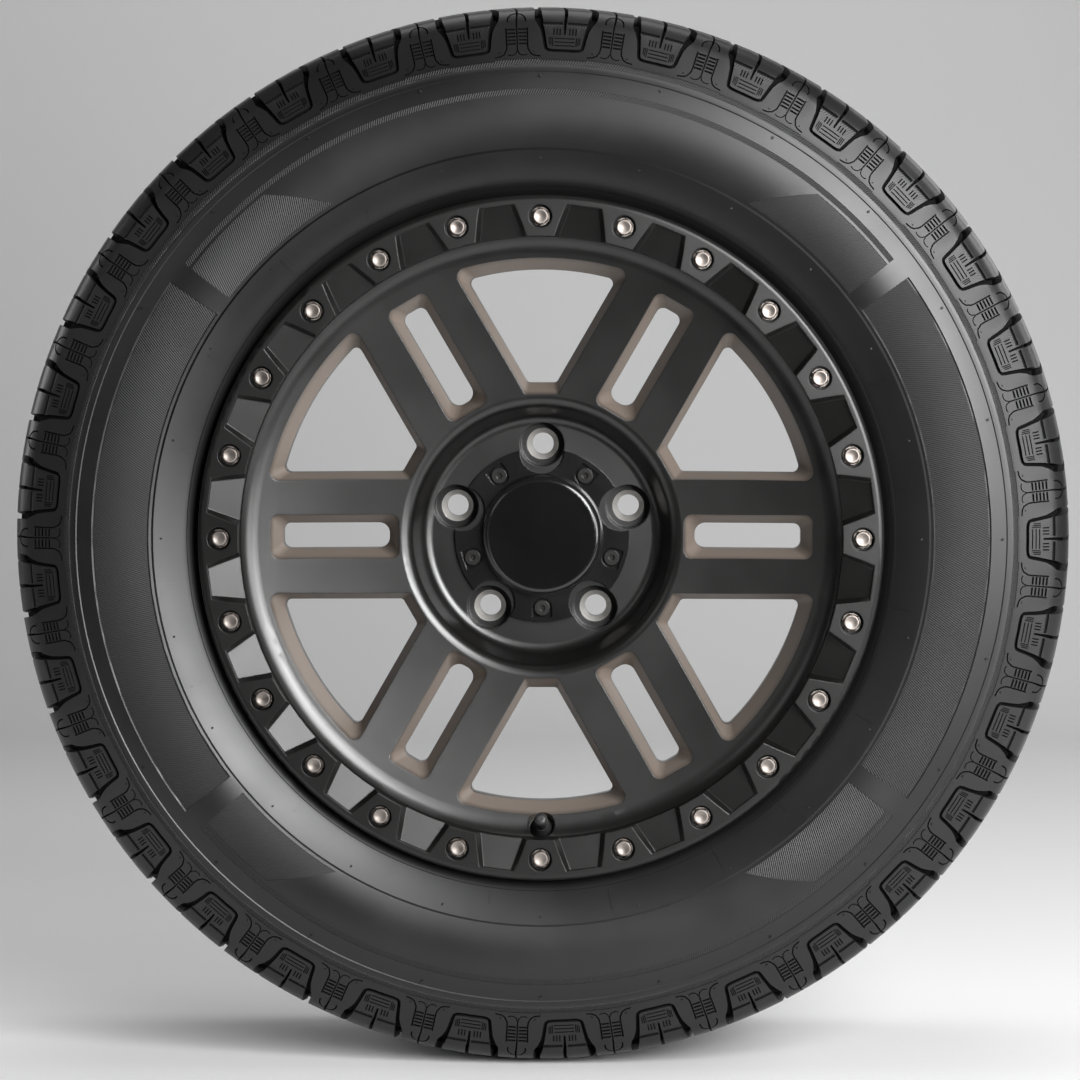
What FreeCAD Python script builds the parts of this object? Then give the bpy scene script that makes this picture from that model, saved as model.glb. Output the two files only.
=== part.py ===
import FreeCAD, Part
import math
import os
from types import SimpleNamespace

import Sketcher

# Car wheel with tyre: a radial tyre on a six-spoke cast wheel with a bolted outer ring.
# Millimetres. The spin axis is Y, the outboard face looks along -Y and Z is up.
# The sketches of turned pieces give the radius along x and the place along the axis in y.

SIZES = [
    # Rim, after a 17 inch wheel of 7.5 inch width.
    ("seat_radius", 218.3),
    ("rim_half_width", 95.25),
    ("flange_height", 17.5),
    ("flange_thickness", 10.75),
    ("flange_chamfer", 3),
    ("seat_width", 21),
    ("seat_drop", 1.8),
    ("well_depth", 19.3),
    ("well_front", 48),
    ("well_back", 8),
    ("barrel_wall", 6.5),
    ("barrel_flare", 8),
    # Wheel face.
    ("lip_inner_radius", 211),
    ("cove_radius", 208.5),
    ("cove_front", 98),
    ("face_radius", 197),
    ("face_front", 92),
    ("face_arc", 950),
    ("cove_arc", 18),
    ("hub_lip_radius", 98),
    ("hub_lip_front", 80.5),
    ("hub_lip_arc", 9.5),
    ("dish_radius", 90),
    ("dish_front", 74.5),
    ("dish_foot_radius", 84.5),
    ("dish_foot_front", 60.2),
    ("dish_foot_arc", 8),
    ("pad_radius", 77),
    ("pad_front", 55),
    ("mount_face", 20),
    ("mount_radius", 79),
    ("spoke_back_outer", 60),
    ("spoke_back_inner", 46),
    ("bore_radius", 35.75),
    ("bore_length", 23),
    ("bore_relief", 3.5),
    # Openings between and in the spokes.
    ("spoke_count", 6),
    ("spoke_half_width", 39.4),
    ("window_outer", 196.1),
    ("window_inner", 99),
    ("window_corner", 6.4),
    ("window_tip_corner", 2.5),
    ("window_side_inset", 5.7),
    ("window_end_inset", 8.8),
    ("window_throat_corner", 4.4),
    ("window_throat_tip", 3.2),
    ("slot_outer", 190.6),
    ("slot_inner", 99.3),
    ("slot_half_width", 16.3),
    ("slot_corner", 5.6),
    ("slot_side_inset", 7.4),
    ("slot_end_inset", 8.4),
    ("slot_throat_corner", 5.5),
    ("slot_throat_tip", 7.5),
    ("draft_depth", 20),
    ("draft_margin", 2),
    # Lug holes.
    ("lug_count", 5),
    ("lug_circle_radius", 63.5),
    ("lug_pocket_radius", 15.5),
    ("lug_pocket_floor", 36),
    ("lug_seat_radius", 11.2),
    ("lug_hole_radius", 7.6),
    # Outer ring and its bolts.
    ("ring_outer", 237),
    ("ring_inner", 208.5),
    ("ring_thickness", 11),
    ("ring_edge", 4),
    ("bolt_count", 24),
    ("bolt_circle_radius", 222),
    ("pocket_outer", 230.5),
    ("pocket_inner", 205.5),
    ("pocket_outer_half", 12.4),
    ("pocket_inner_half", 18.3),
    ("pocket_side_run", 3),
    ("pocket_outer_depth", 2.6),
    ("pocket_inner_depth", 9.6),
    ("counterbore_radius", 8),
    ("counterbore_depth", 7.5),
    ("bolt_radius", 3),
    ("bolt_grip", 11),
    ("bolt_flats", 11),
    ("bolt_head_height", 6.2),
    ("hole_clearance", 0.2),
    ("hole_spare", 1),
    # Tyre, size 235/65 R17.
    ("tyre_radius", 368.6),
    ("crown_drop", 4),
    ("centre_half_width", 57),
    ("tread_half_width", 94),
    ("shoulder_radius", 354),
    ("shoulder_half_width", 104),
    ("buttress_radius", 331),
    ("buttress_half_width", 113),
    ("sidewall_arc", 93),
    ("lower_radius", 240),
    ("lower_half_width", 104.5),
    ("liner_radius", 351),
    ("liner_half_width", 78),
    ("liner_wall_radius", 294),
    ("liner_wall_half_width", 109),
    ("bead_inner_half_width", 82),
    ("bead_inner_radius", 242),
    ("bead_toe_half_width", 76),
    ("groove_depth", 8.5),
    ("groove_width", 9.5),
    ("groove_draft", 1.2),
    ("inner_groove_place", 18),
    ("outer_groove_place", 52),
    ("pitch_count", 33),
    ("leg_spread", 6.2),
    ("leg_angle", 0.9),
    ("leg_depth", 7.5),
    ("buttress_groove_depth", 2.6),
    ("foot_outer", 342),
    ("foot_inner", 338),
    ("seat_clearance", 0.2),
    ("flange_clearance", 0.4),
    # Centre cap.
    ("cap_flange_radius", 61.3),
    ("cap_flange_thickness", 4),
    ("cap_wall_radius", 42.7),
    ("cap_wall_front", 68),
    ("cap_wall_taper", 1),
    ("cap_bead", 4),
    ("cap_bead_arc", 5),
    ("cap_wall_thickness", 3),
    ("cap_disc_radius", 37.5),
    ("cap_disc_thickness", 2.5),
    ("cap_disc_clearance", 0.2),
    ("cap_floor_thickness", 2.5),
    ("scallop_radius", 15.6),
    ("scallop_place", 58.6),
    ("screw_place", 51.4),
    ("screw_radius", 3),
    ("screw_length", 10),
    ("screw_head_radius", 5.3),
    ("screw_head_height", 3.2),
    ("screw_socket_flats", 4),
    ("screw_socket_depth", 1.9),
    ("screw_recess_half_width", 6.9),
    ("screw_recess_outer", 58),
    ("screw_recess_corner", 0.8),
    ("screw_recess_arc", 6.6),
    ("screw_recess_depth", 2.4),
    # Tyre valve, on its own tilted axis.
    ("valve_tilt", 21.6),
    ("valve_radius", 204.6),
    ("valve_front", 83),
    ("valve_wall", 4),
    ("valve_pocket_radius", 9.5),
    ("valve_pocket_length", 40),
    ("valve_hole_radius", 5.75),
    ("valve_bulge_radius", 7.7),
    ("valve_bulge_length", 3),
    ("valve_boot_length", 13),
    ("valve_boot_tip", 4.9),
    ("valve_foot_radius", 8.6),
    ("valve_foot_length", 5),
    ("valve_foot_taper", 1),
    ("tube_radius", 3.6),
    ("tube_length", 24),
    ("tube_bore", 2.4),
    ("tube_step", 11),
    ("gasket_height", 2),
    ("barrel_length", 5),
    ("barrel_radius", 1.45),
    ("core_length", 9),
    ("core_bore", 0.9),
    ("spring_length", 6),
    ("spring_radius", 1.3),
    ("spring_turns", 4),
    ("spring_wire", 0.2),
    ("pin_radius", 0.65),
    ("pin_collar_radius", 1.5),
    ("pin_collar_height", 0.6),
    ("pin_tip", 1.5),
    ("pin_tail", 2),
    ("pin_seal_height", 1.5),
    ("cap_radius", 4.7),
    ("cap_length", 14),
    ("cap_dome", 3),
    ("cap_end_wall", 2.5),
    ("thread_clearance", 0.2),
]

doc = FreeCAD.newDocument("car_wheel_with_tyre")
sheet = doc.addObject("Spreadsheet::Sheet", "Sizes")
for row, (alias, value) in enumerate(SIZES, start=1):
    sheet.set(f"A{row}", alias)
    sheet.set(f"B{row}", str(value))
    sheet.setAlias(f"B{row}", alias)
doc.recompute()


class Size:
    """A number together with the sheet expression that gives it."""

    def __init__(self, number, text):
        self.number = number
        self.text = text

    def __add__(self, other):
        other = as_size(other)
        return Size(self.number + other.number, f"({self.text} + {other.text})")

    def __sub__(self, other):
        other = as_size(other)
        return Size(self.number - other.number, f"({self.text} - {other.text})")

    def __mul__(self, other):
        other = as_size(other)
        return Size(self.number * other.number, f"({self.text} * {other.text})")

    def __truediv__(self, other):
        other = as_size(other)
        return Size(self.number / other.number, f"({self.text} / {other.text})")

    def __neg__(self):
        return Size(-self.number, f"(0 - {self.text})")


def as_size(value):
    return value if isinstance(value, Size) else Size(float(value), str(value))


def sine(angle):
    return Size(math.sin(math.radians(angle.number)), f"sin({angle.text} * 1deg)")


def cosine(angle):
    return Size(math.cos(math.radians(angle.number)), f"cos({angle.text} * 1deg)")


def slope_angle(rise, run):
    slope = rise / run
    return Size(math.degrees(math.atan(slope.number)), f"(atan({slope.text}) / 1deg)")


dim = SimpleNamespace(**{alias: Size(float(value), f"Sizes.{alias}") for alias, value in SIZES})
ZERO = as_size(0)


# Bodies, sketches and features.

def new_body(name):
    body = doc.addObject("PartDesign::Body", name)
    body.Label = name
    return body


def origin_part(body, role):
    return next(part for part in body.Origin.OriginFeatures if part.Role == role)


def new_sketch(body, name, plane, lift=None, turn=None):
    """A sketch on an origin plane, lifted along its normal or turned about its own y axis."""
    sketch = body.newObject("Sketcher::SketchObject", name)
    sketch.AttachmentSupport = [(origin_part(body, plane), "")]
    sketch.MapMode = "FlatFace"
    lift = lift or ZERO
    turn = turn or ZERO
    spin = FreeCAD.Rotation(FreeCAD.Vector(0, 1, 0), turn.number)
    shift = {"x": lift * sine(turn), "z": lift * cosine(turn)}
    base = FreeCAD.Vector(shift["x"].number, 0, shift["z"].number)
    sketch.AttachmentOffset = FreeCAD.Placement(base, spin)
    if turn is not ZERO:
        sketch.setExpression("AttachmentOffset.Rotation.Angle", f"{turn.text} * 1deg")
        sketch.setExpression("AttachmentOffset.Base.x", shift["x"].text)
    if lift is not ZERO:
        sketch.setExpression("AttachmentOffset.Base.z", shift["z"].text)
    return sketch


def tilted_sketch(body, name, lift, tilt, axis):
    """A sketch that faces outboard, lifted on the Y axis and tilted about an axis of its own."""
    sketch = new_sketch(body, name, "XZ_Plane", lift=lift)
    spin = FreeCAD.Rotation(axis, tilt.number)
    sketch.AttachmentOffset = FreeCAD.Placement(FreeCAD.Vector(0, 0, lift.number), spin)
    sketch.setExpression("AttachmentOffset.Rotation.Angle", f"{tilt.text} * 1deg")
    return sketch


def constrain(sketch, rules):
    """Adds constraints in one go; each rule is (constraint, expression or None)."""
    numbers = sketch.addConstraint([rule for rule, _ in rules])
    for number, (_, text) in zip(numbers, rules):
        if text:
            sketch.setExpression(f"Constraints[{number}]", text)


def point_rules(geometry, place, corner):
    """Rules that hold one end of an edge at a corner."""
    rules = []
    for kind, axis, value in (("DistanceX", -2, corner[0]), ("DistanceY", -1, corner[1])):
        if value is ZERO:
            rules.append((Sketcher.Constraint("PointOnObject", geometry, place, axis), None))
        else:
            rules.append((Sketcher.Constraint(kind, geometry, place, value.number), value.text))
    return rules


def arc_between(start, end, radius):
    """The short arc from start to end; a positive radius has its centre on the left."""
    middle = (start + end) * 0.5
    along = end - start
    reach = math.sqrt(radius * radius - along.Length * along.Length / 4)
    left = FreeCAD.Vector(-along.y, along.x, 0).normalize()
    centre = middle + left * math.copysign(reach, radius)
    first, last = (start, end) if radius > 0 else (end, start)
    angles = [math.atan2(spot.y - centre.y, spot.x - centre.x) for spot in (first, last)]
    circle = Part.Circle(centre, FreeCAD.Vector(0, 0, 1), abs(radius))
    return Part.ArcOfCircle(circle, angles[0], angles[1])


def draw_outline(sketch, corners, bends=None):
    """A closed outline through corners; bends gives some edges a signed arc radius."""
    bends = bends or {}
    spots = [FreeCAD.Vector(x.number, y.number, 0) for x, y in corners]
    edges = []
    for number, start in enumerate(spots):
        end = spots[(number + 1) % len(spots)]
        if number in bends:
            radius = bends[number].number
            flipped = radius < 0
            shape = arc_between(start, end, radius)
        else:
            flipped = False
            shape = Part.LineSegment(start, end)
        geometry = sketch.addGeometry(shape)
        edges.append((geometry, 2, 1) if flipped else (geometry, 1, 2))
    rules = []
    for number, (geometry, start, end) in enumerate(edges):
        follower, follower_start, _ = edges[(number + 1) % len(edges)]
        join = Sketcher.Constraint("Coincident", geometry, end, follower, follower_start)
        rules.append((join, None))
        rules += point_rules(geometry, start, corners[number])
        if number in bends:
            radius = bends[number]
            sign = "" if radius.number > 0 else "0 - "
            rule = Sketcher.Constraint("Radius", geometry, abs(radius.number))
            rules.append((rule, sign + radius.text))
    constrain(sketch, rules)


def draw_axis(sketch, start, end):
    """A construction line to turn about."""
    spots = [FreeCAD.Vector(x.number, y.number, 0) for x, y in (start, end)]
    geometry = sketch.addGeometry(Part.LineSegment(*spots), True)
    constrain(sketch, point_rules(geometry, 1, start) + point_rules(geometry, 2, end))


def draw_circle(sketch, centre, radius):
    spot = FreeCAD.Vector(centre[0].number, centre[1].number, 0)
    circle = Part.Circle(spot, FreeCAD.Vector(0, 0, 1), radius.number)
    geometry = sketch.addGeometry(circle)
    rules = point_rules(geometry, 3, centre)
    rules.append((Sketcher.Constraint("Radius", geometry, radius.number), radius.text))
    constrain(sketch, rules)


def draw_hexagon(sketch, centre, flats):
    """A regular hexagon with two flats across the x direction."""
    half = flats / 2
    reach = flats / math.sqrt(3)
    steps = [(half, reach / 2), (ZERO, reach), (-half, reach / 2),
             (-half, -reach / 2), (ZERO, -reach), (half, -reach / 2)]
    draw_outline(sketch, [(centre[0] + x, centre[1] + y) for x, y in steps])


def cross_lines(first, second, inset):
    """Where two lines, each (normal angle, distance), meet after moving in by inset."""
    (angle_a, place_a), (angle_b, place_b) = first, second
    ax, ay = math.cos(angle_a), math.sin(angle_a)
    bx, by = math.cos(angle_b), math.sin(angle_b)
    turn = ax * by - ay * bx
    a, b = place_a - inset, place_b - inset
    return FreeCAD.Vector((a * by - b * ay) / turn, (b * ax - a * bx) / turn, 0)


def cross_arc(line, radius, inset, side):
    """Where a line moved in by inset meets a circle about the origin that is smaller by inset."""
    angle, place = line
    normal = FreeCAD.Vector(math.cos(angle), math.sin(angle), 0)
    along = FreeCAD.Vector(-normal.y, normal.x, 0)
    near = place - inset
    return normal * near + along * side * math.sqrt((radius - inset) ** 2 - near ** 2)


def draw_rounded(sketch, edges, corners):
    """A convex outline with rounded corners, counter-clockwise.

    An edge is (outward angle, distance from the origin) for a straight side, or a radius alone
    for an arc about the origin. corners[k] rounds the end of edge k.
    """
    sides = []
    for edge in edges:
        if isinstance(edge, Size):
            sides.append(edge.number)
        else:
            sides.append((math.radians(edge[0].number), edge[1].number))
    centres = []
    for number, side in enumerate(sides):
        follower = sides[(number + 1) % len(sides)]
        inset = corners[number].number
        if isinstance(follower, float):
            centres.append(cross_arc(side, follower, inset, 1))
        elif isinstance(side, float):
            centres.append(cross_arc(follower, side, inset, -1))
        else:
            centres.append(cross_lines(side, follower, inset))

    def touch(side, centre, inset):
        if isinstance(side, float):
            return centre * (side / (side - inset))
        return centre + FreeCAD.Vector(math.cos(side[0]), math.sin(side[0]), 0) * inset

    def arc(centre, radius, start, end):
        angles = [math.atan2(spot.y - centre.y, spot.x - centre.x) for spot in (start, end)]
        circle = Part.Circle(centre, FreeCAD.Vector(0, 0, 1), radius)
        return Part.ArcOfCircle(circle, angles[0], angles[1])

    origin = FreeCAD.Vector(0, 0, 0)
    side_numbers, corner_numbers = [], []
    for number, side in enumerate(sides):
        start = touch(side, centres[number - 1], corners[number - 1].number)
        end = touch(side, centres[number], corners[number].number)
        shape = arc(origin, side, start, end) if isinstance(side, float) else Part.LineSegment(start, end)
        side_numbers.append(sketch.addGeometry(shape))
        after = touch(sides[(number + 1) % len(sides)], centres[number], corners[number].number)
        corner = arc(centres[number], corners[number].number, end, after)
        corner_numbers.append(sketch.addGeometry(corner))
    rules = []
    for number, side in enumerate(sides):
        line, corner = side_numbers[number], corner_numbers[number]
        follower = side_numbers[(number + 1) % len(sides)]
        rules.append((Sketcher.Constraint("Tangent", line, 2, corner, 1), None))
        rules.append((Sketcher.Constraint("Tangent", corner, 2, follower, 1), None))
        rule = Sketcher.Constraint("Radius", corner, corners[number].number)
        rules.append((rule, corners[number].text))
        if isinstance(side, float):
            rules.append((Sketcher.Constraint("Coincident", line, 3, -1, 1), None))
            rules.append((Sketcher.Constraint("Radius", line, side), edges[number].text))
        else:
            angle, place = edges[number]
            along = angle + 90
            rule = Sketcher.Constraint("Angle", line, math.radians(along.number))
            rules.append((rule, f"{along.text} * 1deg"))
            rule = Sketcher.Constraint("Distance", -1, 1, line, abs(place.number))
            rules.append((rule, place.text if place.number > 0 else f"0 - {place.text}"))
    constrain(sketch, rules)


def turned(body, name, corners, bends=None):
    """A turned solid about the Y axis."""
    sketch = new_sketch(body, name + "_section", "XY_Plane")
    draw_outline(sketch, corners, bends)
    feature = body.newObject("PartDesign::Revolution", name)
    feature.Profile = sketch
    feature.ReferenceAxis = (sketch, ["V_Axis"])
    feature.Angle = 360
    return feature


def turned_cut(body, name, sketch, axis="V_Axis", sweep=None):
    """A turned cut about the sketch's y axis or its construction line."""
    feature = body.newObject("PartDesign::Groove", name)
    feature.Profile = sketch
    feature.ReferenceAxis = (sketch, [axis])
    feature.Angle = sweep.number if sweep else 360
    if sweep:
        feature.Midplane = True
        feature.setExpression("Angle", sweep.text)
    return feature


def raised(body, name, sketch, length):
    feature = body.newObject("PartDesign::Pad", name)
    feature.Profile = sketch
    feature.Length = length.number
    feature.setExpression("Length", length.text)
    return feature


def sunk(body, name, sketch, length):
    feature = body.newObject("PartDesign::Pocket", name)
    feature.Profile = sketch
    feature.Length = length.number
    feature.setExpression("Length", length.text)
    return feature


def sunk_inboard(body, name, sketch, length):
    """A pocket along the Y axis from a tilted sketch."""
    feature = sunk(body, name, sketch, length)
    feature.UseCustomVector = True
    feature.Direction = FreeCAD.Vector(0, 1, 0)
    return feature


def drafted_cut(body, name, first, last):
    feature = body.newObject("PartDesign::SubtractiveLoft", name)
    feature.Profile = first
    feature.Sections = [last]
    feature.Ruled = True
    return feature


def ring_of(body, name, features, count):
    """Repeats features round the Y axis."""
    pattern = body.newObject("PartDesign::PolarPattern", name)
    pattern.Originals = features
    pattern.Axis = (origin_part(body, "Y_Axis"), [""])
    pattern.Angle = 360
    pattern.Occurrences = int(count.number)
    pattern.setExpression("Occurrences", count.text)
    body.Tip = pattern
    return pattern


# Alloy wheel: one casting, turned from its section, then opened and drilled.

flange_radius = dim.seat_radius + dim.flange_height
lip_front = dim.rim_half_width + dim.flange_thickness
seat_end = dim.rim_half_width - dim.seat_width
seat_end_radius = dim.seat_radius - dim.seat_drop
well_radius = dim.seat_radius - dim.well_depth
barrel_radius = well_radius - dim.barrel_wall
barrel_back_radius = seat_end_radius - dim.barrel_wall
flange_shoulder = flange_radius - dim.flange_chamfer
flange_edge = dim.rim_half_width + dim.flange_chamfer
bore_front = dim.mount_face + dim.bore_length
relief_radius = dim.bore_radius + dim.bore_relief

wheel = new_body("alloy_wheel")
turned(wheel, "wheel_blank", [
    (relief_radius, -dim.pad_front),
    (dim.pad_radius, -dim.pad_front),
    (dim.dish_foot_radius, -dim.dish_foot_front),
    (dim.dish_radius, -dim.dish_front),
    (dim.hub_lip_radius, -dim.hub_lip_front),
    (dim.face_radius, -dim.face_front),
    (dim.cove_radius, -dim.cove_front),
    (dim.lip_inner_radius, -lip_front),
    (flange_radius, -lip_front),
    (flange_radius, -flange_edge),
    (flange_shoulder, -dim.rim_half_width),
    (dim.seat_radius, -dim.rim_half_width),
    (seat_end_radius, -seat_end),
    (well_radius, -dim.well_front),
    (well_radius, -dim.well_back),
    (seat_end_radius, seat_end),
    (dim.seat_radius, dim.rim_half_width),
    (flange_shoulder, dim.rim_half_width),
    (flange_radius, flange_edge),
    (flange_radius, lip_front),
    (flange_radius - dim.barrel_flare, lip_front),
    (dim.seat_radius - dim.barrel_wall, dim.rim_half_width),
    (barrel_back_radius, seat_end),
    (barrel_radius, -dim.well_back),
    (barrel_radius, -dim.spoke_back_outer),
    (dim.hub_lip_radius, -dim.spoke_back_inner),
    (dim.mount_radius, -dim.mount_face),
    (dim.bore_radius, -dim.mount_face),
    (dim.bore_radius, -bore_front),
    (relief_radius, -bore_front),
], {1: -dim.dish_foot_arc, 3: dim.hub_lip_arc, 4: -dim.face_arc, 5: -dim.cove_arc})

# Windows between the spokes and slots along them: a drafted front that follows the slope of the
# wheel's face, and a straight throat.

face_tilt = slope_angle(dim.face_front - dim.hub_lip_front, dim.face_radius - dim.hub_lip_radius)
face_at_axis = dim.face_front - dim.face_radius * sine(face_tilt) / cosine(face_tilt)
half_step = as_size(180) / dim.spoke_count


def window_edges(side_inset, end_inset):
    side = -(dim.spoke_half_width + side_inset)
    return [(-half_step, side), dim.window_outer - end_inset,
            (half_step + 180, side), (as_size(270), -(dim.window_inner + end_inset))]


def slot_edges(side_inset, end_inset):
    half = dim.slot_half_width - side_inset
    return [(as_size(270), half), (ZERO, dim.slot_outer - end_inset),
            (as_size(90), half), (as_size(180), -(dim.slot_inner + end_inset))]


def opening(name, axis, front_edges, front_corners, throat_edges, throat_corners):
    front = tilted_sketch(wheel, name + "_front", face_at_axis + dim.draft_margin, face_tilt, axis)
    draw_rounded(front, front_edges, front_corners)
    throat = tilted_sketch(wheel, name + "_throat", face_at_axis - dim.draft_depth, face_tilt, axis)
    draw_rounded(throat, throat_edges, throat_corners)
    drafted = drafted_cut(wheel, name + "_draft", front, throat)
    straight = sunk_inboard(wheel, name + "_through", throat, dim.face_front)
    return [drafted, straight]


openings = opening("window", FreeCAD.Vector(1, 0, 0), window_edges(ZERO, ZERO),
                   [dim.window_corner] * 2 + [dim.window_tip_corner] * 2,
                   window_edges(dim.window_side_inset, dim.window_end_inset),
                   [dim.window_throat_corner] * 2 + [dim.window_throat_tip] * 2)
openings += opening("slot", FreeCAD.Vector(0, -1, 0), slot_edges(ZERO, ZERO),
                    [dim.slot_corner] * 4,
                    slot_edges(dim.slot_side_inset, dim.slot_end_inset),
                    [dim.slot_throat_corner] * 2 + [dim.slot_throat_tip] * 2)
ring_of(wheel, "spokes", openings, dim.spoke_count)

# Lug holes: a deep pocket, a 60 degree seat and a clear hole on each.

seat_run = (dim.lug_seat_radius - dim.lug_hole_radius) * math.sqrt(3)
lug_axis = dim.lug_circle_radius
lug = new_sketch(wheel, "lug_section", "XY_Plane", turn=as_size(-90))
draw_outline(lug, [
    (lug_axis, -dim.dish_front),
    (lug_axis + dim.lug_pocket_radius, -dim.dish_front),
    (lug_axis + dim.lug_pocket_radius, -dim.lug_pocket_floor),
    (lug_axis + dim.lug_seat_radius, -dim.lug_pocket_floor),
    (lug_axis + dim.lug_hole_radius, -dim.lug_pocket_floor + seat_run),
    (lug_axis + dim.lug_hole_radius, ZERO),
    (lug_axis, ZERO),
])
draw_axis(lug, (lug_axis, -dim.dish_front), (lug_axis, ZERO))
ring_of(wheel, "lug_holes", [turned_cut(wheel, "lug_hole", lug, "Axis0")], dim.lug_count)

# Holes for the ring's bolts and the cap's screws.

bolt_floor = dim.bolt_grip - dim.ring_thickness + dim.counterbore_depth + dim.hole_spare
bolt_holes = new_sketch(wheel, "bolt_place", "XZ_Plane", lift=lip_front)
draw_circle(bolt_holes, (dim.bolt_circle_radius, ZERO), dim.bolt_radius + dim.hole_clearance)
ring_of(wheel, "bolt_holes", [sunk(wheel, "bolt_hole", bolt_holes, bolt_floor)], dim.bolt_count)

screw_web = dim.cap_flange_thickness - dim.screw_recess_depth
screw_floor = dim.screw_length - screw_web + dim.hole_spare
screw_holes = new_sketch(wheel, "screw_place", "XZ_Plane", lift=dim.pad_front)
draw_circle(screw_holes, (ZERO, -dim.screw_place), dim.screw_radius + dim.hole_clearance)
ring_of(wheel, "screw_holes", [sunk(wheel, "screw_hole", screw_holes, screw_floor)], dim.lug_count)

# Valve hole at the foot of the wheel, stepped along the valve's tilted axis.


def along_valve(reach, side):
    """A point in the YZ plane: reach from the seat outwards along the valve, side across it."""
    return (-dim.valve_front - reach * cosine(dim.valve_tilt) - side * sine(dim.valve_tilt),
            -dim.valve_radius + reach * sine(dim.valve_tilt) - side * cosine(dim.valve_tilt))


pocket_end = dim.valve_pocket_length
inside_end = -dim.valve_wall - dim.valve_pocket_radius * 2
valve_hole = new_sketch(wheel, "valve_section", "YZ_Plane")
draw_outline(valve_hole, [along_valve(*spot) for spot in [
    (pocket_end, ZERO), (pocket_end, dim.valve_pocket_radius), (ZERO, dim.valve_pocket_radius),
    (ZERO, dim.valve_hole_radius), (-dim.valve_wall, dim.valve_hole_radius),
    (-dim.valve_wall, dim.valve_pocket_radius), (inside_end, dim.valve_pocket_radius),
    (inside_end, ZERO),
]])
draw_axis(valve_hole, along_valve(pocket_end, ZERO), along_valve(inside_end, ZERO))
turned_cut(wheel, "valve_hole", valve_hole, "Axis0")

# Outer ring: turned, then pocketed between its bolts and counterbored at them.

ring_front = lip_front + dim.ring_thickness
ring = new_body("beadlock_ring")
turned(ring, "ring_blank", [
    (dim.ring_inner, -lip_front),
    (dim.ring_inner, -ring_front),
    (dim.ring_outer - dim.ring_edge, -ring_front),
    (dim.ring_outer, -ring_front + dim.ring_edge),
    (dim.ring_outer, -lip_front),
], {2: dim.ring_edge})


def pocket_section(name, radius, half, depth):
    over = dim.hole_spare
    sketch = new_sketch(ring, name, "XY_Plane", lift=radius, turn=as_size(180) / dim.bolt_count)
    spread = dim.pocket_side_run / depth * over
    draw_outline(sketch, [
        (-(half + spread), -ring_front - over),
        (half + spread, -ring_front - over),
        (half - dim.pocket_side_run, -ring_front + depth),
        (-(half - dim.pocket_side_run), -ring_front + depth),
    ])
    return sketch


outer_end = pocket_section("pocket_outer_end", dim.pocket_outer, dim.pocket_outer_half,
                           dim.pocket_outer_depth)
inner_end = pocket_section("pocket_inner_end", dim.pocket_inner, dim.pocket_inner_half,
                           dim.pocket_inner_depth)
pocket = drafted_cut(ring, "ring_pocket", outer_end, inner_end)

counterbore_floor = ring_front - dim.counterbore_depth
bolt_axis = dim.bolt_circle_radius
bolt_section = new_sketch(ring, "bolt_section", "XY_Plane")
draw_outline(bolt_section, [
    (bolt_axis, -ring_front - dim.hole_spare),
    (bolt_axis + dim.counterbore_radius, -ring_front - dim.hole_spare),
    (bolt_axis + dim.counterbore_radius, -counterbore_floor),
    (bolt_axis + dim.bolt_radius + dim.hole_clearance, -counterbore_floor),
    (bolt_axis + dim.bolt_radius + dim.hole_clearance, -lip_front + dim.hole_spare),
    (bolt_axis, -lip_front + dim.hole_spare),
])
draw_axis(bolt_section, (bolt_axis, -ring_front), (bolt_axis, -lip_front))
ring_of(ring, "ring_pattern", [pocket, turned_cut(ring, "counterbore", bolt_section, "Axis0")],
        dim.bolt_count)

# Ring bolts: hexagon heads in the counterbores, plain shanks through ring and lip.

bolts = new_body("ring_bolts")
head = new_sketch(bolts, "head_outline", "XZ_Plane", lift=counterbore_floor)
draw_hexagon(head, (bolt_axis, ZERO), dim.bolt_flats)
head_pad = raised(bolts, "bolt_head", head, dim.bolt_head_height)
shank = new_sketch(bolts, "shank_outline", "XZ_Plane", lift=counterbore_floor - dim.bolt_grip)
draw_circle(shank, (bolt_axis, ZERO), dim.bolt_radius)
shank_pad = raised(bolts, "bolt_shank", shank, dim.bolt_grip)
bolts.AllowCompound = True
ring_of(bolts, "bolt_set", [head_pad, shank_pad], dim.bolt_count)

# Tyre: one cured piece, turned from its section with the four long grooves in it.

crown_edge = dim.tyre_radius - dim.crown_drop
wide = dim.groove_width / 2
narrow = wide - dim.groove_draft


def long_groove(place, sign):
    """Four corners of a long groove on the side given by sign, from -y to +y."""
    centre = place * sign
    floor = dim.tyre_radius - dim.groove_depth
    return [(dim.tyre_radius, centre - wide), (floor, centre - narrow),
            (floor, centre + narrow), (dim.tyre_radius, centre + wide)]


def tyre_side(sign):
    """One side of the section from the crown edge down to the bead toe, for y of that sign."""
    heel = dim.seat_radius + dim.seat_clearance
    toe = seat_end_radius + dim.seat_clearance
    return [
        (dim.tyre_radius, dim.centre_half_width * sign),
        (crown_edge, dim.tread_half_width * sign),
        (dim.shoulder_radius, dim.shoulder_half_width * sign),
        (dim.buttress_radius, dim.buttress_half_width * sign),
        (dim.lower_radius, dim.lower_half_width * sign),
        (flange_radius + dim.flange_clearance, flange_edge * sign),
        (flange_shoulder + dim.flange_clearance, dim.rim_half_width * sign),
        (heel, dim.rim_half_width * sign),
        (toe, dim.bead_toe_half_width * sign),
    ]


def tyre_liner(sign):
    return [
        (dim.bead_inner_radius, dim.bead_inner_half_width * sign),
        (dim.liner_wall_radius, dim.liner_wall_half_width * sign),
        (dim.liner_radius, dim.liner_half_width * sign),
    ]


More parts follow.
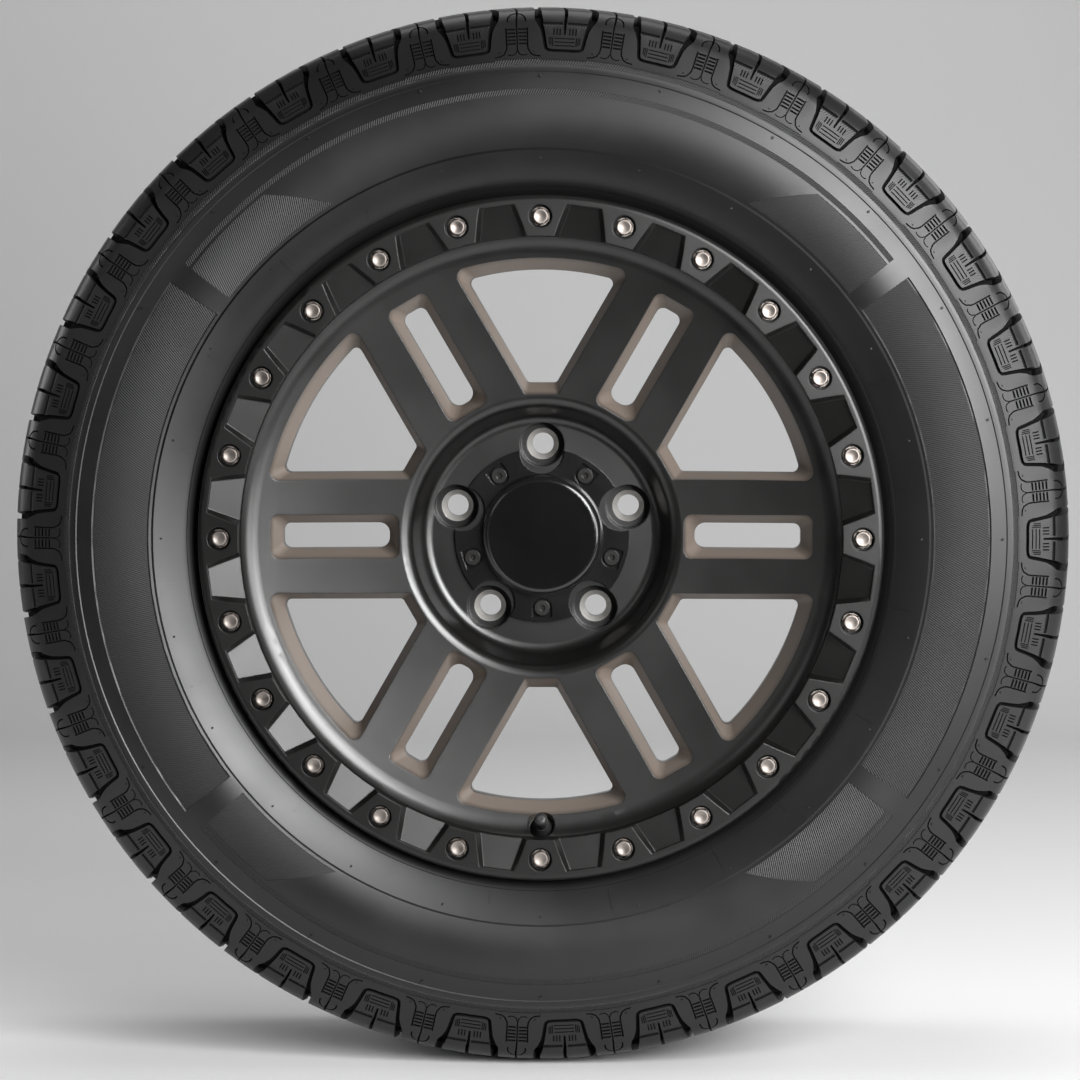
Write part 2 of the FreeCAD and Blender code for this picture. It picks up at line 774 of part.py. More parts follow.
outboard = tyre_side(-1)
inboard = tyre_side(1)
grooves = []
for place, sign in ((dim.outer_groove_place, -1), (dim.inner_groove_place, -1),
                    (dim.inner_groove_place, 1), (dim.outer_groove_place, 1)):
    grooves += long_groove(place, sign)
tyre_corners = outboard[::-1] + grooves + inboard + tyre_liner(1) + tyre_liner(-1)[::-1]
wall_edge = len(outboard) - 5
far_wall_edge = len(outboard) + len(grooves) + 3

tyre = new_body("tyre")
turned(tyre, "tyre_blank", tyre_corners,
       {wall_edge: dim.sidewall_arc, far_wall_edge: dim.sidewall_arc})

# Shoulder grooves: two legs and a foot that make a U on each shoulder, once a pitch.

leg_floor = crown_edge - dim.leg_depth
foot_depth = dim.buttress_groove_depth
buttress_slope = ((dim.buttress_half_width - dim.shoulder_half_width)
                  / (dim.shoulder_radius - dim.buttress_radius))
edge_groove = dim.outer_groove_place + narrow


def buttress_at(radius):
    """Half width of the buttress at a radius."""
    return dim.shoulder_half_width + (dim.shoulder_radius - radius) * buttress_slope


def shoulder_leg(sign):
    over = dim.groove_depth
    return [
        (leg_floor, edge_groove * sign),
        (leg_floor, (dim.tread_half_width - foot_depth) * sign),
        (dim.foot_inner, (buttress_at(dim.foot_inner) - foot_depth) * sign),
        (dim.foot_inner, (buttress_at(dim.foot_inner) + over) * sign),
        (dim.tyre_radius + over, (dim.shoulder_half_width + over) * sign),
        (dim.tyre_radius + over, edge_groove * sign),
    ]


def shoulder_foot(sign):
    over = dim.groove_depth
    return [
        (dim.foot_outer, (buttress_at(dim.foot_outer) - foot_depth) * sign),
        (dim.foot_inner, (buttress_at(dim.foot_inner) - foot_depth) * sign),
        (dim.foot_inner, (buttress_at(dim.foot_inner) + over) * sign),
        (dim.foot_outer, (buttress_at(dim.foot_outer) + over) * sign),
    ]


def shoulder_cut(name, section, turn, sweep):
    sketch = new_sketch(tyre, name + "_section", "XY_Plane", turn=turn)
    for sign in (-1, 1):
        draw_outline(sketch, section(sign))
    return turned_cut(tyre, name, sketch, sweep=sweep)


half_spread = dim.leg_spread / 2
shoulder = [
    shoulder_cut("leg_one", shoulder_leg, half_spread, dim.leg_angle),
    shoulder_cut("leg_two", shoulder_leg, -half_spread, dim.leg_angle),
    shoulder_cut("foot", shoulder_foot, ZERO, dim.leg_spread),
]
ring_of(tyre, "pitches", shoulder, dim.pitch_count)

# Centre cap: a moulded cup with a flange scalloped round the lug pockets.

cap_flange_front = dim.pad_front + dim.cap_flange_thickness
recess_floor = dim.cap_wall_front - dim.cap_disc_thickness
recess_radius = dim.cap_disc_radius + dim.cap_disc_clearance
cap = new_body("centre_cap")
turned(cap, "cap_blank", [
    (dim.cap_wall_radius - dim.cap_wall_thickness, -dim.pad_front),
    (dim.cap_flange_radius, -dim.pad_front),
    (dim.cap_flange_radius, -cap_flange_front),
    (dim.cap_wall_radius, -cap_flange_front),
    (dim.cap_wall_radius - dim.cap_wall_taper, -dim.cap_wall_front + dim.cap_bead),
    (recess_radius, -dim.cap_wall_front),
    (recess_radius, -recess_floor),
    (ZERO, -recess_floor),
    (ZERO, -recess_floor + dim.cap_floor_thickness),
    (dim.cap_wall_radius - dim.cap_wall_thickness, -recess_floor + dim.cap_floor_thickness),
], {4: -dim.cap_bead_arc})
scallop = new_sketch(cap, "scallop_outline", "XZ_Plane", lift=cap_flange_front)
draw_circle(scallop, (ZERO, dim.scallop_place), dim.scallop_radius)
scallop_cut = sunk(cap, "scallop", scallop, dim.cap_flange_thickness)
cap_hole = new_sketch(cap, "cap_hole_outline", "XZ_Plane", lift=cap_flange_front)
draw_circle(cap_hole, (ZERO, -dim.screw_place), dim.screw_radius + dim.hole_clearance)
cap_hole_cut = sunk(cap, "cap_hole", cap_hole, dim.cap_flange_thickness)
screw_recess = new_sketch(cap, "screw_recess_outline", "XZ_Plane", lift=cap_flange_front)
screw_recess_inner = dim.screw_place - dim.screw_recess_half_width
draw_rounded(screw_recess, [
    (ZERO, dim.screw_recess_half_width),
    (as_size(90), -screw_recess_inner),
    (as_size(180), dim.screw_recess_half_width),
    (as_size(270), dim.screw_recess_outer),
], [dim.screw_recess_arc] * 2 + [dim.screw_recess_corner] * 2)
screw_recess_cut = sunk(cap, "screw_recess", screw_recess, dim.screw_recess_depth)
ring_of(cap, "cap_pattern", [scallop_cut, cap_hole_cut, screw_recess_cut], dim.lug_count)

# Cap disc: a plain disc let into the cap's front.

disc = new_body("cap_disc")
disc_outline = new_sketch(disc, "disc_outline", "XZ_Plane", lift=recess_floor)
draw_circle(disc_outline, (ZERO, ZERO), dim.cap_disc_radius)
raised(disc, "disc_plate", disc_outline, dim.cap_disc_thickness)

# Cap screws: button heads with a hexagon socket.

screws = new_body("cap_screws")
screw_spot = (ZERO, -dim.screw_place)
screw_seat = dim.pad_front + screw_web
button = new_sketch(screws, "button_outline", "XZ_Plane", lift=screw_seat)
draw_circle(button, screw_spot, dim.screw_head_radius)
button_pad = raised(screws, "screw_head", button, dim.screw_head_height)
screw_shank = new_sketch(screws, "screw_outline", "XZ_Plane",
                         lift=screw_seat - dim.screw_length)
draw_circle(screw_shank, screw_spot, dim.screw_radius)
screw_pad = raised(screws, "screw_shank", screw_shank, dim.screw_length)
socket = new_sketch(screws, "socket_outline", "XZ_Plane",
                    lift=screw_seat + dim.screw_head_height)
draw_hexagon(socket, (ZERO, -dim.screw_place), dim.screw_socket_flats)
socket_cut = sunk(screws, "screw_socket", socket, dim.screw_socket_depth)
screws.AllowCompound = True
ring_of(screws, "screw_set", [button_pad, screw_pad, socket_cut], dim.lug_count)

# Tyre valve. Its pieces are turned about Y and then set on the valve's axis.


def set_on_valve(body):
    """Turns a valve piece, whose -Y runs out of the wheel, onto the valve's axis."""
    base = FreeCAD.Vector(0, -dim.valve_front.number, -dim.valve_radius.number)
    tilt = FreeCAD.Rotation(FreeCAD.Vector(-1, 0, 0), dim.valve_tilt.number)
    body.Placement = FreeCAD.Placement(base, tilt)
    body.setExpression("Placement.Base.y", (-dim.valve_front).text)
    body.setExpression("Placement.Base.z", (-dim.valve_radius).text)
    body.setExpression("Placement.Rotation.Angle", f"{dim.valve_tilt.text} * 1deg")


tube_hole = dim.tube_radius + dim.seat_clearance
neck = dim.valve_hole_radius - dim.hole_clearance
boot_back = dim.valve_wall + dim.valve_foot_length
grommet = new_body("valve_grommet")
turned(grommet, "grommet_blank", [
    (tube_hole, -dim.valve_boot_length),
    (dim.valve_boot_tip, -dim.valve_boot_length),
    (dim.valve_bulge_radius, -dim.valve_bulge_length),
    (dim.valve_bulge_radius, ZERO),
    (neck, ZERO),
    (neck, dim.valve_wall),
    (dim.valve_foot_radius, dim.valve_wall),
    (dim.valve_foot_radius - dim.valve_foot_taper, boot_back),
    (tube_hole, boot_back),
])
set_on_valve(grommet)

gasket_front = dim.tube_step + dim.gasket_height
barrel_back = gasket_front - dim.barrel_length
low_bore = dim.barrel_radius + dim.thread_clearance
tube = new_body("valve_tube")
turned(tube, "tube_blank", [
    (dim.tube_bore, -dim.tube_length),
    (dim.tube_radius, -dim.tube_length),
    (dim.tube_radius, boot_back),
    (low_bore, boot_back),
    (low_bore, -dim.tube_step),
    (dim.tube_bore, -dim.tube_step),
])
set_on_valve(tube)

gasket = new_body("core_gasket")
turned(gasket, "gasket_blank", [
    (low_bore, -gasket_front),
    (dim.tube_bore - dim.thread_clearance, -gasket_front),
    (dim.tube_bore - dim.thread_clearance, -dim.tube_step),
    (low_bore, -dim.tube_step),
])
set_on_valve(gasket)

core_front = gasket_front + dim.core_length
spring_back = core_front - dim.spring_length
spring_room = dim.spring_radius + dim.spring_wire + dim.thread_clearance
core = new_body("valve_core")
turned(core, "core_blank", [
    (spring_room, -core_front),
    (dim.tube_bore - dim.thread_clearance, -core_front),
    (dim.tube_bore - dim.thread_clearance, -gasket_front),
    (dim.barrel_radius, -gasket_front),
    (dim.barrel_radius, -barrel_back),
    (dim.core_bore, -barrel_back),
    (dim.core_bore, -spring_back),
    (spring_room, -spring_back),
])
set_on_valve(core)

# Core pin with its collar, the seal under the core and the coil between core and collar.

pin_front = core_front + dim.pin_collar_height + dim.pin_tip
pin = new_body("valve_pin")
turned(pin, "pin_blank", [
    (ZERO, -pin_front),
    (dim.pin_radius, -pin_front),
    (dim.pin_radius, -core_front - dim.pin_collar_height),
    (dim.pin_collar_radius, -core_front - dim.pin_collar_height),
    (dim.pin_collar_radius, -core_front),
    (dim.pin_radius, -core_front),
    (dim.pin_radius, -barrel_back + dim.pin_tail),
    (ZERO, -barrel_back + dim.pin_tail),
])
set_on_valve(pin)

seal = new_body("pin_seal")
turned(seal, "seal_blank", [
    (dim.pin_radius, -barrel_back),
    (dim.barrel_radius, -barrel_back),
    (dim.barrel_radius, -barrel_back + dim.pin_seal_height),
    (dim.pin_radius, -barrel_back + dim.pin_seal_height),
])
set_on_valve(seal)

spring = new_body("valve_spring")
coil_rise = dim.spring_length - dim.spring_wire * 2
wire = new_sketch(spring, "wire_section", "XY_Plane")
draw_outline(wire, [
    (dim.spring_radius - dim.spring_wire, -spring_back),
    (dim.spring_radius + dim.spring_wire, -spring_back),
    (dim.spring_radius + dim.spring_wire, -spring_back - dim.spring_wire * 2),
    (dim.spring_radius - dim.spring_wire, -spring_back - dim.spring_wire * 2),
])
coil = spring.newObject("PartDesign::AdditiveHelix", "coil")
coil.Profile = wire
coil.ReferenceAxis = (wire, ["V_Axis"])
coil.Mode = "height-turns-growth"
coil.Height = coil_rise.number
coil.Turns = dim.spring_turns.number
coil.Reversed = True
coil.setExpression("Height", coil_rise.text)
coil.setExpression("Turns", dim.spring_turns.text)
set_on_valve(spring)

cap_mouth = dim.tube_length + dim.hole_spare - (dim.cap_length - dim.cap_end_wall)
cap_front = cap_mouth + dim.cap_length
dust_cap = new_body("valve_cap")
turned(dust_cap, "dust_cap_blank", [
    (dim.tube_radius + dim.thread_clearance, -cap_mouth),
    (dim.cap_radius, -cap_mouth),
    (dim.cap_radius, -cap_front + dim.cap_dome),
    (dim.cap_radius - dim.cap_dome, -cap_front),
    (ZERO, -cap_front),
    (ZERO, -cap_front + dim.cap_end_wall),
    (dim.tube_radius + dim.thread_clearance, -cap_front + dim.cap_end_wall),
], {2: -dim.cap_dome})
set_on_valve(dust_cap)

doc.recompute()

# Every feature must be sound before the pieces are written.

pieces = [tyre, wheel, ring, bolts, cap, disc, screws,
          grommet, tube, gasket, core, pin, seal, spring, dust_cap]
for item in doc.Objects:
    if "Invalid" in item.State or "Error" in item.State:
        raise RuntimeError(f"{item.Name} did not rebuild: {item.State}")
os.makedirs("parts", exist_ok=True)
for piece in pieces:
    if piece.Shape.isNull() or not piece.Shape.isValid():
        raise RuntimeError(f"{piece.Label} has no valid shape")
    piece.Shape.exportStep(f"parts/{piece.Label}.step")
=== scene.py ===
import math

import bmesh
import bpy
import numpy as np
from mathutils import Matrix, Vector
from mathutils.geometry import delaunay_2d_cdt


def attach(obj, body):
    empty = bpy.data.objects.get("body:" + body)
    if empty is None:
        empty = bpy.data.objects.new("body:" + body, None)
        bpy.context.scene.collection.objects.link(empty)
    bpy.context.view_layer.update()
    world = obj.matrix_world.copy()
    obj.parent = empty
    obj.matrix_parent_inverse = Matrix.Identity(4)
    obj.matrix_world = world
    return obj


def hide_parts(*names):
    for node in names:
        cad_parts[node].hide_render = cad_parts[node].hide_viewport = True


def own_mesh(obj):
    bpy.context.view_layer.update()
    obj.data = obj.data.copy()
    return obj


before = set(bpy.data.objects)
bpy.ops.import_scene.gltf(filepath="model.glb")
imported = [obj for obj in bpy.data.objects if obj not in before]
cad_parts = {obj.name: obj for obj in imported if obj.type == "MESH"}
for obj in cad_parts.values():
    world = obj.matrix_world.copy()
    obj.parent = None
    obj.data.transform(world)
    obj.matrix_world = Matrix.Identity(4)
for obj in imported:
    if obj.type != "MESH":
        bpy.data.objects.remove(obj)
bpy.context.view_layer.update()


# Tyre rubber
# A road tyre is rubber cured in a steel mould over cords and two bead wires. The mould leaves the
# tread blocks, the shoulder grooves, the panels and ribs of the sidewall and the vent pips. Sizes
# here are in millimetres; a point of the section is a radius and a distance outboard.
MM = 0.001
PITCHES = 33
PITCH = 360 / PITCHES
STEPS_PER_PITCH = 8
STEP = PITCH / STEPS_PER_PITCH
PITCH_EDGES = (-3 * STEP, 5 * STEP)
# Skin marks: 1 is hatched skin, with fine ridges and a darker tone; 2 marks sunk grooves and lines,
# whose skin is painted darker and without sheen as painted shade; a mark above 1.2 counts as a
# groove.
HATCHED = 1.0
GROOVE_SHADE = 2.0
GROOVE_SHADE_ABOVE = 1.2
DEGREE_MM = 6.2
WELD_DISTANCE = 2e-5
TREAD_RADIUS = 368.6
FLAT_HALF = 57.0
CROWN_DROP = 4.0
CROWN_HALF = 94.0
SHOULDER = (354.0, 104.0)
SHOULDER_PULL = (362.6, 100.0)
BUTTRESS_FOOT = (331.0, 113.0)
FLANK_CENTRE = (293.0, 28.1)
FLANK_BEND = 93.0
FLANK_FOOT = (240.0, 104.5)
BEAD_SEAT = [(233.2, 95.25), (236.2, 98.25)]
BEAD_INSIDE = [(233.2, 95.25), (218.5, 95.25), (216.7, 76.0), (242.0, 82.0)]
LINER = [(262.0, 99.0), (294.0, 109.0), (326.0, 102.0), (345.0, 88.0), (351.0, 78.0), (351.0, 0.0)]
BUTTRESS_ROWS = (0, 24, 28, 32, 36, 40, 45, 52, 68, 77)
CROWN_ROWS = (47, 22, 12, 0)
FLANK_ROWS = (240, 242, 247, 252, 258, 264, 270, 277, 285, 293, 301, 308, 314, 319, 323, 327, 331)
SEAM_STEP = 27
BARS = (37.0, 143.7, 219.0, 323.3)
BAR_HALF = 1.45
TICKS = (52, 61, 76, 90, 98, 118, 133, 151, 166, 187, 203, 228, 246, 262, 281, 299, 312, 331, 349,
         368, 385)
TICK_HALF = 0.09
PIP_ROWS = (262.0, 318.5)
PIPS_IN_ROW = 24
PIP_FOOT, PIP_TIP, PIP_LENGTH, PIP_SUNK = 1.1, 0.7, 3.0, 0.8


class SkinLine:
    """The tyre's cross-section from the rim up to the tread's middle, walked by its length."""

    FEEL = 0.9

    def __init__(self, points):
        self.points = np.array(points)
        steps = np.hypot(*np.diff(self.points, axis=0).T)
        self.length = np.concatenate([[0.0], np.cumsum(steps)])

    def at(self, walk):
        return np.array([np.interp(walk, self.length, self.points[:, k]) for k in (0, 1)])

    def place(self, angle, walk, height):
        step = self.at(walk + self.FEEL) - self.at(walk - self.FEEL)
        outward = np.array([-step[1], step[0]]) / np.hypot(*step)
        radius, out = self.at(walk) + height * outward
        turn = math.radians(angle)
        return MM * radius * math.cos(turn), -MM * out, MM * radius * math.sin(turn)

    def up_to(self, radius):
        return float(np.interp(radius, self.points[:, 0], self.length))


def tyre_section():
    """From the bead seat over the flank's arc and the rounded shoulder to the crown."""
    points = list(BEAD_SEAT)
    for radius in np.linspace(FLANK_FOOT[0], BUTTRESS_FOOT[0], 40):
        rise = math.sqrt(FLANK_BEND**2 - (radius - FLANK_CENTRE[0]) ** 2)
        points.append((radius, FLANK_CENTRE[1] + rise))
    crown_edge = (TREAD_RADIUS - CROWN_DROP, CROWN_HALF)
    for t in np.linspace(0, 1, 12):
        bend = [
            (1 - t) ** 2 * SHOULDER[k] + 2 * t * (1 - t) * SHOULDER_PULL[k] + t**2 * crown_edge[k]
            for k in (0, 1)
        ]
        points.append(tuple(bend))
    for t in np.linspace(1, 0, 10)[1:]:
        points.append((TREAD_RADIUS - CROWN_DROP * t**2, FLAT_HALF + t * (CROWN_HALF - FLAT_HALF)))
    points.append((TREAD_RADIUS, 0.0))
    return SkinLine(points)


section = tyre_section()
FOOT = section.up_to(BUTTRESS_FOOT[0])
TOP = float(section.length[-1])


def moulded(angles, walks, shapes):
    """Tyre skin over a net of angles and walks; each shape is sunk or raised to its own level."""
    points = [Vector((a * DEGREE_MM, w)) for a in angles for w in walks]
    count = len(walks)
    edges = [(i, i + 1) for i in range(len(points)) if (i + 1) % count]
    edges += [(i, i + count) for i in range(len(points) - count)]
    faces = []
    for outline, _, _ in shapes:
        ring = zip(outline, outline[1:] + outline[:1])
        area = sum(a[0] * b[1] - b[0] * a[1] for a, b in ring)
        faces.append(list(range(len(points), len(points) + len(outline))))
        points += [Vector((a * DEGREE_MM, w)) for a, w in outline[:: 1 if area > 0 else -1]]
    cut = delaunay_2d_cdt(points, edges, faces, 0, 1e-4, True)
    flat, triangles, inside = cut[0], cut[2], cut[5]
    skin = bmesh.new()
    # Each corner carries its shape's mark, for hatch and for the painted shade of grooves.
    hatch = skin.verts.layers.float.new("hatch")
    corners = {}

    def height(index, level):
        return shapes[level][1](flat[index][1]) if level >= 0 else 0.0

    def corner(index, level):
        key = (index, level)
        if key not in corners:
            angle, walk = flat[index][0] / DEGREE_MM, flat[index][1]
            corners[key] = skin.verts.new(section.place(angle, walk, height(index, level)))
            corners[key][hatch] = shapes[level][2] if level >= 0 else 0.0
        return corners[key]

    sides = {}
    for triangle, shape in zip(triangles, inside):
        level = max(shape, default=-1)
        skin.faces.new([corner(i, level) for i in triangle])
        for i, j in zip(triangle, triangle[1:] + triangle[:1]):
            sides.setdefault((min(i, j), max(i, j)), []).append(level)
    stacks = {}
    for index, level in corners:
        stacks.setdefault(index, []).append(level)

    def climb(index, start, end):
        """Corners that a wall passes between two levels, so that its side meets its neighbours'."""
        first, last = height(index, start), height(index, end)
        low, high = min(first, last), max(first, last)
        passed = [k for k in stacks[index] if low < height(index, k) < high]
        passed.sort(key=lambda k: height(index, k), reverse=first > last)
        return [corner(index, k) for k in (start, *passed, end)]

    for (i, j), levels in sides.items():
        if len(levels) == 2 and levels[0] != levels[1]:
            low, high = levels
            skin.faces.new(climb(j, low, high) + climb(i, high, low))
    return skin


def groove(path, depth, mask=GROOVE_SHADE):
    """A cut along a path of (degrees, walk, half width), squared off at the edge of a pitch; by
    default its skin is marked for painted shade.
    """
    left, right = [], []
    for k, (angle, walk, half) in enumerate(path):
        before, after = path[max(k - 1, 0)], path[min(k + 1, len(path) - 1)]
        run = Vector(((after[0] - before[0]) * DEGREE_MM, after[1] - before[1])).normalized()
        if angle in PITCH_EDGES:
            left.append((angle, walk + half / run.x))
            right.append((angle, walk - half / run.x))
        else:
            left.append((angle - run.y * half / DEGREE_MM, walk + run.x * half))
            right.append((angle + run.y * half / DEGREE_MM, walk - run.x * half))
    level = depth if callable(depth) else lambda walk: -depth
    return left + right[::-1], level, mask


def block(angle_a, angle_b, walk_a, walk_b, height, mask=0.0):
    """A field between two angles and two walks, level or on a slope from one height to another."""
    outline = [(angle_a, walk_a), (angle_b, walk_a), (angle_b, walk_b), (angle_a, walk_b)]
    low, high = height if isinstance(height, tuple) else (height, height)
    return outline, lambda walk: low + (high - low) * (walk - walk_a) / (walk_b - walk_a), mask


def pitch_shapes():
    """The grooves of one tread pitch on the outboard half, its middle at angle zero."""
    def deepening(*table):
        walks, depths = zip(*table)
        return lambda walk: -float(np.interp(walk - FOOT, walks, depths))

    def lean(rise):
        return float(np.interp(rise, [26, 36, 50, 78], [0.0, -0.12, 0.15, 0.9]))

    shapes = []
    # The groove round a block: rise from the buttress's foot, degrees to the side, half width.
    legs = [(4.9, 0.0, 1.2), (4.9, 1.25, 1.2), (5.3, 1.8, 1.2), (6.5, 2.1, 1.25), (9, 2.2, 1.3)]
    legs += [(14, 2.32, 1.3), (20, 2.5, 1.4), (25, 2.75, 2.0), (29, 2.98, 2.9), (33, 3.1, 2.6)]
    legs += [(38, 3.14, 2.3), (46, 3.05, 2.3), (56, 2.95, 2.3), (66, 2.8, 2.3), (79, 2.7, 2.3)]
    path = [(lean(s) - a, FOOT + s, half) for s, a, half in legs[:0:-1]]
    path += [(lean(s) + a, FOOT + s, half) for s, a, half in legs]
    shapes.append(groove(path, deepening((5, 3.0), (20, 4.0), (32, 6.5), (40, 7.5))))
    # The slit that parts a block: rise, half width.
    slit = [(17, 0.7), (23, 0.9), (28, 1.1), (33, 1.2), (42, 1.2), (56, 1.1), (79, 0.9)]
    path = [(lean(s), FOOT + s, half) for s, half in slit]
    shapes.append(groove(path, deepening((17, 1.4), (30, 4.5), (45, 6.0))))
    # Three rows and ticks beside and above them, sunk and marked for painted shade, and two sloping
    # steps on the block's pad, hatched and painted darker as shade on their slopes.
    row_foot, row_gap, row_half, row_height = FOOT + 8.2, 2.7, 1.15, 0.9
    tick_foot, tick_top, upper_foot, upper_top = FOOT + 8.2, FOOT + 15.0, FOOT + 16.6, FOOT + 21.5
    tick_half, upper_half, line_depth = 0.06, 0.08, -0.8
    for k in range(3):
        low = row_foot + row_gap * k
        shapes.append(block(-row_half, row_half, low, low + row_height, line_depth, GROOVE_SHADE))
        for side in (-1, 1):
            tick, foot = side * (1.36 + 0.2 * k), tick_foot + 0.7 * k
            near, far = tick - tick_half, tick + tick_half
            shapes.append(block(near, far, foot, tick_top, line_depth, GROOVE_SHADE))
            upper = side * (0.55 + 0.35 * k)
            near, far = upper - upper_half, upper + upper_half
            shapes.append(block(near, far, upper_foot, upper_top, line_depth, GROOVE_SHADE))
    # The steps' mark gives a light hatch and a darker tone, painted shade on their slopes.
    step_foot, step_top, step_depth, step_hatch_and_shade = FOOT + 24.0, FOOT + 26.4, -1.5, 0.6
    for near, far in ((-2.45, -0.3), (0.3, 2.45)):
        shapes.append(block(near, far, step_foot, step_top, (0.0, step_depth), step_hatch_and_shade))
    # A comb of short bars between two blocks, with an arch over it and a line down its middle.
    comb = PITCH / 2
    bar_foot, bar_gap, bar_height, bar_depth = FOOT + 9.6, 2.7, 1.45, -1.5
    bar_near, bar_far = 0.17, 1.08
    for k in range(5):
        low = bar_foot + bar_gap * k
        for side in (-1, 1):
            near, far = sorted((comb + side * bar_near, comb + side * bar_far))
            shapes.append(block(near, far, low, low + bar_height, bar_depth, GROOVE_SHADE))
    arch = []
    arch_reach, arch_foot, arch_rise, past = 1.0, FOOT + 28.5, 6.0, 0.25
    arch_half, arch_depth = 0.55, 1.3
    for t in np.linspace(-past, math.pi + past, 13):
        across, up = arch_reach * math.cos(t), arch_rise * math.sin(t)
        arch.append((comb + across, arch_foot + up, arch_half))
    shapes.append(groove(arch, arch_depth))
    line = [(comb, FOOT + 4.6, 0.5), (comb, FOOT + 26, 0.55)]
    line += [(comb + lean(s), FOOT + s, 0.7) for s in (34, 42, 52, 66, 79)]
    shapes.append(groove(line, deepening((2, 0.9), (26, 1.5), (40, 5.0))))
    # Outlines of the comb's tongue, neck and foot: degrees from its middle, rise. The right-hand
    # outline crosses the edge of the pitch, so it is cut in two there.
    tongue = [(0.07, 5.2), (0.17, 3.2), (0.45, 1.9), (0.85, 1.6), (1.15, 2.4)]
    neck = [(1.2, 22.5), (1.21, 9), (1.26, 6.2), (STEP, 5.1)]
    foot = [(STEP, 5.1), (1.6, 2.6), (2.0, 1.3), (2.7, 0.7)]
    tongue_half, tongue_depth, neck_half, neck_depth = 0.4, 1.4, 0.55, 1.6
    for side in (-1, 1):
        path = [(comb + side * a, FOOT + s, tongue_half) for a, s in tongue]
        shapes.append(groove(path, tongue_depth))
    path = [(comb - a, FOOT + s, neck_half) for a, s in neck + foot[1:]]
    shapes.append(groove(path, neck_depth))
    before, after = PITCH_EDGES
    path = [(comb + a, FOOT + s, neck_half) for a, s in neck[:-1]]
    path.append((after, FOOT + neck[-1][1], neck_half))
    shapes.append(groove(path, neck_depth))
    path = [(before, FOOT + foot[0][1], neck_half)]
    path += [(comb - PITCH + a, FOOT + s, neck_half) for a, s in foot[1:]]
    shapes.append(groove(path, neck_depth))
    # Two pips at the foot, the grooves round the tyre and the sipes of the ribs between them.
    pip_foot, pip_top, pip_height = FOOT + 3.6, FOOT + 4.7, 1.0
    for angle in (-3.4, 3.4):
        near, far = angle - TICK_HALF, angle + TICK_HALF
        shapes.append(block(near, far, pip_foot, pip_top, pip_height))
    groove_half, groove_depth, sipe_half, sipe_depth = 4.75, -8.5, 0.4, 4.5
    for middle in (18.0, 52.0):
        low, high = TOP - middle - groove_half, TOP - middle + groove_half
        shapes.append(block(*PITCH_EDGES, low, high, groove_depth, GROOVE_SHADE))
    for start in (-2.6, 0.2, 3.0, 5.4):
        waves = ((0.0, 46.0), (0.5, 38.0), (0.1, 32.0), (0.6, 24.5))
        sipe = [(start + turn, TOP - inward, sipe_half) for turn, inward in waves]
        shapes.append(groove(sipe, sipe_depth))
    for start in (-1.6, 3.8):
        sipe = [(start, TOP - 12.0, sipe_half), (start + 0.4, TOP - 2.0, sipe_half)]
        shapes.append(groove(sipe, sipe_depth))
    return shapes


def flank_shapes():
    """Ribs, panels and bars moulded on the sidewall; the net starts inside the first bar."""
    up = section.up_to
    start, end = SEAM_STEP * STEP, SEAM_STEP * STEP + 360
    shapes = []
    # A rib at the rim and the terraces of the wall: radii, and a level or the ends of a slope.
    for low, high, height in (
        (243.4, 245.2, 0.8), (267.4, 268.6, (0.0, -1.4)), (268.6, 321.0, -1.4),
        (321.0, 321.7, (-1.4, -0.9)), (321.7, 325.7, -0.9), (325.7, 326.3, (-0.9, -0.5)),
    ):
        shapes.append(block(start, end, up(low), up(high), height))
    # A hatched strip under the tread, with a plain sliver below each block.
    shapes.append(block(start, end, up(326.3), up(329.8), -0.5, HATCHED))
    first_block, sliver_half = SEAM_STEP // STEPS_PER_PITCH + 1, 2.7
    for k in range(first_block, first_block + PITCHES):
        near, far = k * PITCH - sliver_half, k * PITCH + sliver_half
        shapes.append(block(near, far, up(329.0), up(329.8), -0.1))
    # Plain bars part the wall into two open arcs with hatched corners and two sunk hatched panels.
    upper_right, upper_left, lower_left, lower_right = BARS
    arcs = ((upper_right, upper_left, 90.0), (lower_left, lower_right, 270.0))
    panels = ((upper_left, lower_left), (lower_right, upper_right + 360))
    corner_depth, corner_hatch = 2.0, 0.55
    for first, last, middle in arcs:
        left, right = first + BAR_HALF, last - BAR_HALF
        shapes.append(block(left, right, up(305.6), up(309.6), -1.8, HATCHED))
        for edge, side in ((left, -1), (right, 1)):
            outline = [
                (edge, up(270.5)), (middle + side * 31.5, up(270.5)),
                (middle + side * 38.7, up(303.8)), (edge, up(303.8)),
            ]
            shapes.append((outline, lambda walk: -corner_depth, corner_hatch))
    for first, last in panels:
        left, right = first + BAR_HALF, last - BAR_HALF
        shapes.append(block(left, right, up(270.4), up(271.4), (-1.4, -2.2), HATCHED))
        shapes.append(block(left, right, up(271.4), up(309.4), -2.2, HATCHED))
        shapes.append(block(left, right, up(309.4), up(310.4), (-2.2, -1.4), 0.0))
    # Thin upright ticks near the rim, long and short.
    for angle in TICKS:
        reach = 262 if angle % 2 else 255
        shapes.append(block(angle - TICK_HALF, angle + TICK_HALF, up(247.5), up(reach), 0.45))
    return shapes


